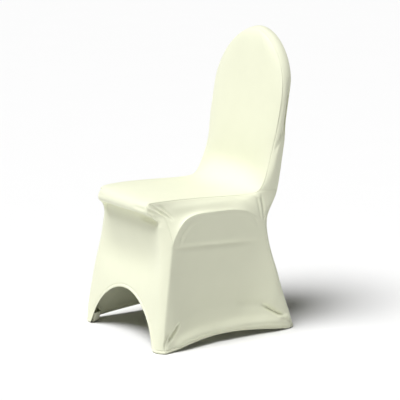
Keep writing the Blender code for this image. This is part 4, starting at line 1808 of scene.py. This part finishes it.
@dataclass(frozen=True)
class KnitFinish:
    """Smooth stretch knit with fine wales and courses and a soft satin look."""

    name: str
    colour: Colour
    tone: Colour
    roughness: float = 0.62
    specular: float = 0.35
    sheen: float = 0.25
    sheen_roughness: float = 0.45
    wale: float = 0.0011
    course: float = 0.0008
    depth: float = 0.00006
    relief_strength: float = 0.6
    patch_size: float = 0.05
    patch_detail: float = 4.0
    yarn_scale: float = 900.0
    yarn_share: float = 0.5
    stitch_share: float = 0.35
    tone_span: tuple[float, float] = (0.25, 0.85)

    def build(self) -> bpy.types.Material:
        """Make the knit.

        Returns:
            The material.
        """
        nodes = Nodes(self.name)
        nodes.set_shader({
            "Roughness": self.roughness,
            "Specular IOR Level": self.specular,
            "Sheen Weight": self.sheen,
            "Sheen Roughness": self.sheen_roughness,
        })
        stitch = self._stitch(nodes)
        shade = nodes.weighted(stitch, self.stitch_share, nodes.noise(1 / self.patch_size, self.patch_detail))
        nodes.colour(shade, self.tone, self.colour, self.tone_span)
        relief = nodes.weighted(nodes.noise(self.yarn_scale), self.yarn_share, stitch)
        bump = nodes.add("Bump", strength=self.relief_strength, distance=self.depth)
        nodes.link(relief, bump.inputs["Height"])
        nodes.link(bump.outputs["Normal"], nodes.shader.inputs["Normal"])
        return nodes.material

    def _stitch(self, nodes: Nodes) -> bpy.types.NodeSocket:
        """Pattern of wales and courses on the flat cloth.

        Args:
            nodes: The knit's nodes.

        Returns:
            Value that is highest in the middle of each loop of yarn.
        """
        flat = nodes.add("UVMap", uv_map="cloth")
        loop = nodes.add("Math", operation="MULTIPLY")
        for number, (direction, pitch) in enumerate((("X", self.wale), ("Y", self.course))):
            wave = nodes.add(
                "TexWave",
                wave_type="BANDS",
                bands_direction=direction,
                wave_profile="SIN",
                scale=WAVE_SCALE / pitch,
                distortion=0.0,
            )
            nodes.link(flat.outputs["UV"], wave.inputs["Vector"])
            nodes.link(wave.outputs["Fac"], loop.inputs[number])
        return loop.outputs[0]


@dataclass(frozen=True)
class ThreadFinish:
    """Spun sewing thread with a twist."""

    name: str
    colour: Colour
    tone: Colour
    roughness: float = 0.55
    sheen: float = 0.2
    twist_scale: float = 1500.0

    def build(self) -> bpy.types.Material:
        """Make the thread.

        Returns:
            The material.
        """
        nodes = Nodes(self.name)
        nodes.set_shader({"Roughness": self.roughness, "Sheen Weight": self.sheen})
        nodes.colour(nodes.noise(self.twist_scale), self.tone, self.colour)
        return nodes.material


@dataclass(frozen=True)
class FloorFinish:
    """Pale matt studio floor with a faint cloudy tone."""

    name: str = "pale_floor"
    colour: Colour = (0.88, 0.88, 0.88)
    tone_share: float = 0.99
    roughness: float = 0.9
    specular: float = 0.1
    patch_scale: float = 3.0

    def build(self) -> bpy.types.Material:
        """Make the floor's finish.

        Returns:
            The material.
        """
        nodes = Nodes(self.name)
        nodes.set_shader({"Roughness": self.roughness, "Specular IOR Level": self.specular})
        tone = tuple(self.tone_share * channel for channel in self.colour)
        nodes.colour(nodes.noise(self.patch_scale), tone, self.colour)
        return nodes.material


class Softbox(NamedTuple):
    """Square soft light, by its place, edge length and power."""

    name: str
    place: tuple[float, float, float]
    edge: float
    watts: float


class FarLight(NamedTuple):
    """Wide soft light from far off, by its angles in degrees and its strength."""

    name: str
    azimuth: float
    height: float
    spread: float
    strength: float


@dataclass(frozen=True)
class Studio:
    """Pale floor, soft lights and the camera."""

    floor_half: float = 60.0
    floor_drop: float = 0.0002
    aim: tuple[float, float, float] = (0.0, 0.0, 0.45)
    sky: float = 0.07
    softboxes: tuple[Softbox, ...] = (Softbox("top", (0.0, -0.6, 3.8), 2.4, 4.0),)
    far_lights: tuple[FarLight, ...] = (FarLight("key", 0.0, 68.0, 32.0, 3.62),)
    camera_place: tuple[float, float, float] = (4.367, -3.0005, 1.651)
    camera_azimuth: float = 55.262
    camera_pitch: float = 13.264
    lens: float = 155.67
    sensor: float = 36.0
    view_depth: float = 200.0

    def build(self) -> None:
        """Make the floor, the lights, the sky and the camera."""
        self._floor()
        self._lights()
        self._sky()
        self._camera()
        bpy.context.scene.view_settings.view_transform = "Standard"

    def _floor(self) -> None:
        """Large square floor."""
        half = self.floor_half
        corners = np.array([(-half, -half), (half, -half), (half, half), (-half, half)])
        points = np.column_stack([corners, np.full(len(corners), -self.floor_drop)])
        floor = make_mesh("studio_floor", points, [[0, 1, 2, 3]])
        floor.data.materials.append(FloorFinish().build())

    def _lights(self) -> None:
        """Softboxes that face the cover, and the far lights."""
        for box in self.softboxes:
            lamp = bpy.data.lights.new(box.name, "AREA")
            lamp.size = box.edge
            lamp.energy = box.watts
            self._hang(lamp, Vector(self.aim) - Vector(box.place), box.place)
        for far in self.far_lights:
            lamp = bpy.data.lights.new(far.name, "SUN")
            lamp.angle = math.radians(far.spread)
            lamp.energy = far.strength
            self._hang(lamp, self._way(far.azimuth, far.height), (0.0, 0.0, 0.0))

    def _sky(self) -> None:
        """Even white sky."""
        world = bpy.data.worlds.new("studio_sky")
        world.use_nodes = True
        background = world.node_tree.nodes["Background"]
        background.inputs["Color"].default_value = (1.0, 1.0, 1.0, 1.0)
        background.inputs["Strength"].default_value = self.sky
        bpy.context.scene.world = world

    @staticmethod
    def _hang(data: bpy.types.ID, way: Vector, place: tuple[float, float, float]) -> bpy.types.Object:
        """Put a light or the camera into the scene.

        Args:
            data: The light or camera.
            way: Direction that it looks along.
            place: Where it is.

        Returns:
            Its object.
        """
        made = bpy.data.objects.new(data.name, data)
        made.location = place
        made.rotation_euler = way.to_track_quat("-Z", "Y").to_euler()
        bpy.context.scene.collection.objects.link(made)
        return made

    @staticmethod
    def _way(azimuth: float, height: float) -> Vector:
        """Direction toward the cover.

        Args:
            azimuth: Turn from the front toward the right, in degrees.
            height: Angle above the floor, in degrees.

        Returns:
            Unit vector.
        """
        turn, tilt = math.radians(azimuth), math.radians(height)
        level = math.cos(tilt)
        return Vector((-math.sin(turn) * level, math.cos(turn) * level, -math.sin(tilt)))

    def _camera(self) -> None:
        """Camera at the photograph's angle."""
        lens = bpy.data.cameras.new("camera")
        lens.lens = self.lens
        lens.sensor_width = self.sensor
        lens.clip_end = self.view_depth
        way = self._way(self.camera_azimuth, self.camera_pitch)
        bpy.context.scene.camera = self._hang(lens, way, self.camera_place)


def report(piece: bpy.types.Object) -> None:
    """Log a finished piece."""
    LOG.info("%s: %d faces", piece.name, len(piece.data.polygons))


def main() -> None:
    """Build the cover, its sewing and the studio."""
    logging.basicConfig(level=logging.INFO, format="%(message)s")
    legs, top, steps = LegFrame(), SeatAndBack(), Steps()
    cloth = FineCloth(Membrane(CoarseCloth(legs, top, steps)), Relief())
    cloth.build()
    LOG.info("cloth: %d points", len(cloth.points))

    knit = KnitFinish(
        "ivory_stretch_knit", colour=(0.885, 0.900, 0.700), tone=(0.865, 0.880, 0.682)
    ).build()
    # Foot pockets: a coarser, rougher knit whose colour is the cover's ivory darkened. This is painted shade
    # for the pockets inside the cover.
    pocket_knit_painted_shade = KnitFinish(
        "pocket_knit_painted_shade",
        colour=(0.80, 0.81, 0.64),
        tone=(0.72, 0.73, 0.57),
        roughness=0.8,
        wale=0.0014,
        course=0.0014,
    ).build()
    thread = ThreadFinish("ivory_thread", colour=(0.90, 0.91, 0.74), tone=(0.78, 0.79, 0.62)).build()

    sewing = {}
    for stitches in (
        HemStitches("front_hem_stitches", "front", hem_row=0),
        HemStitches("rear_hem_stitches", "rear", hem_row=0),
        HemStitches("side_hem_stitches_right", "right", hem_row=-1),
        HemStitches("side_hem_stitches_left", "left", hem_row=-1),
    ):
        piece = stitches.build(cloth)
        stitches.dress(piece, thread)
        sewing[stitches.patch] = piece
        report(piece)

    for panel in (
        Panel("front_and_seat_panel", ("front",), flat=(0.46, 1.28), flat_area=0.42),
        Panel("back_panel", ("rear", "strip"), flat=(0.46, 1.02), flat_area=0.38),
        Panel("side_panel_right", ("right",), flat=(0.46, 0.46), flat_area=0.16),
        Panel("side_panel_left", ("left",), flat=(0.46, 0.46), flat_area=0.16),
    ):
        piece = panel.build(cloth)
        panel.dress(piece, knit, [sewing[panel.patches[0]]])
        report(piece)

    for end in End:
        for hand in Hand:
            pocket = FootPocket(end, hand)
            piece = pocket.build(legs, cloth.shift)
            pocket.dress(piece, pocket_knit_painted_shade)
            report(piece)

    Studio().build()


if __name__ == "__main__":
    main()
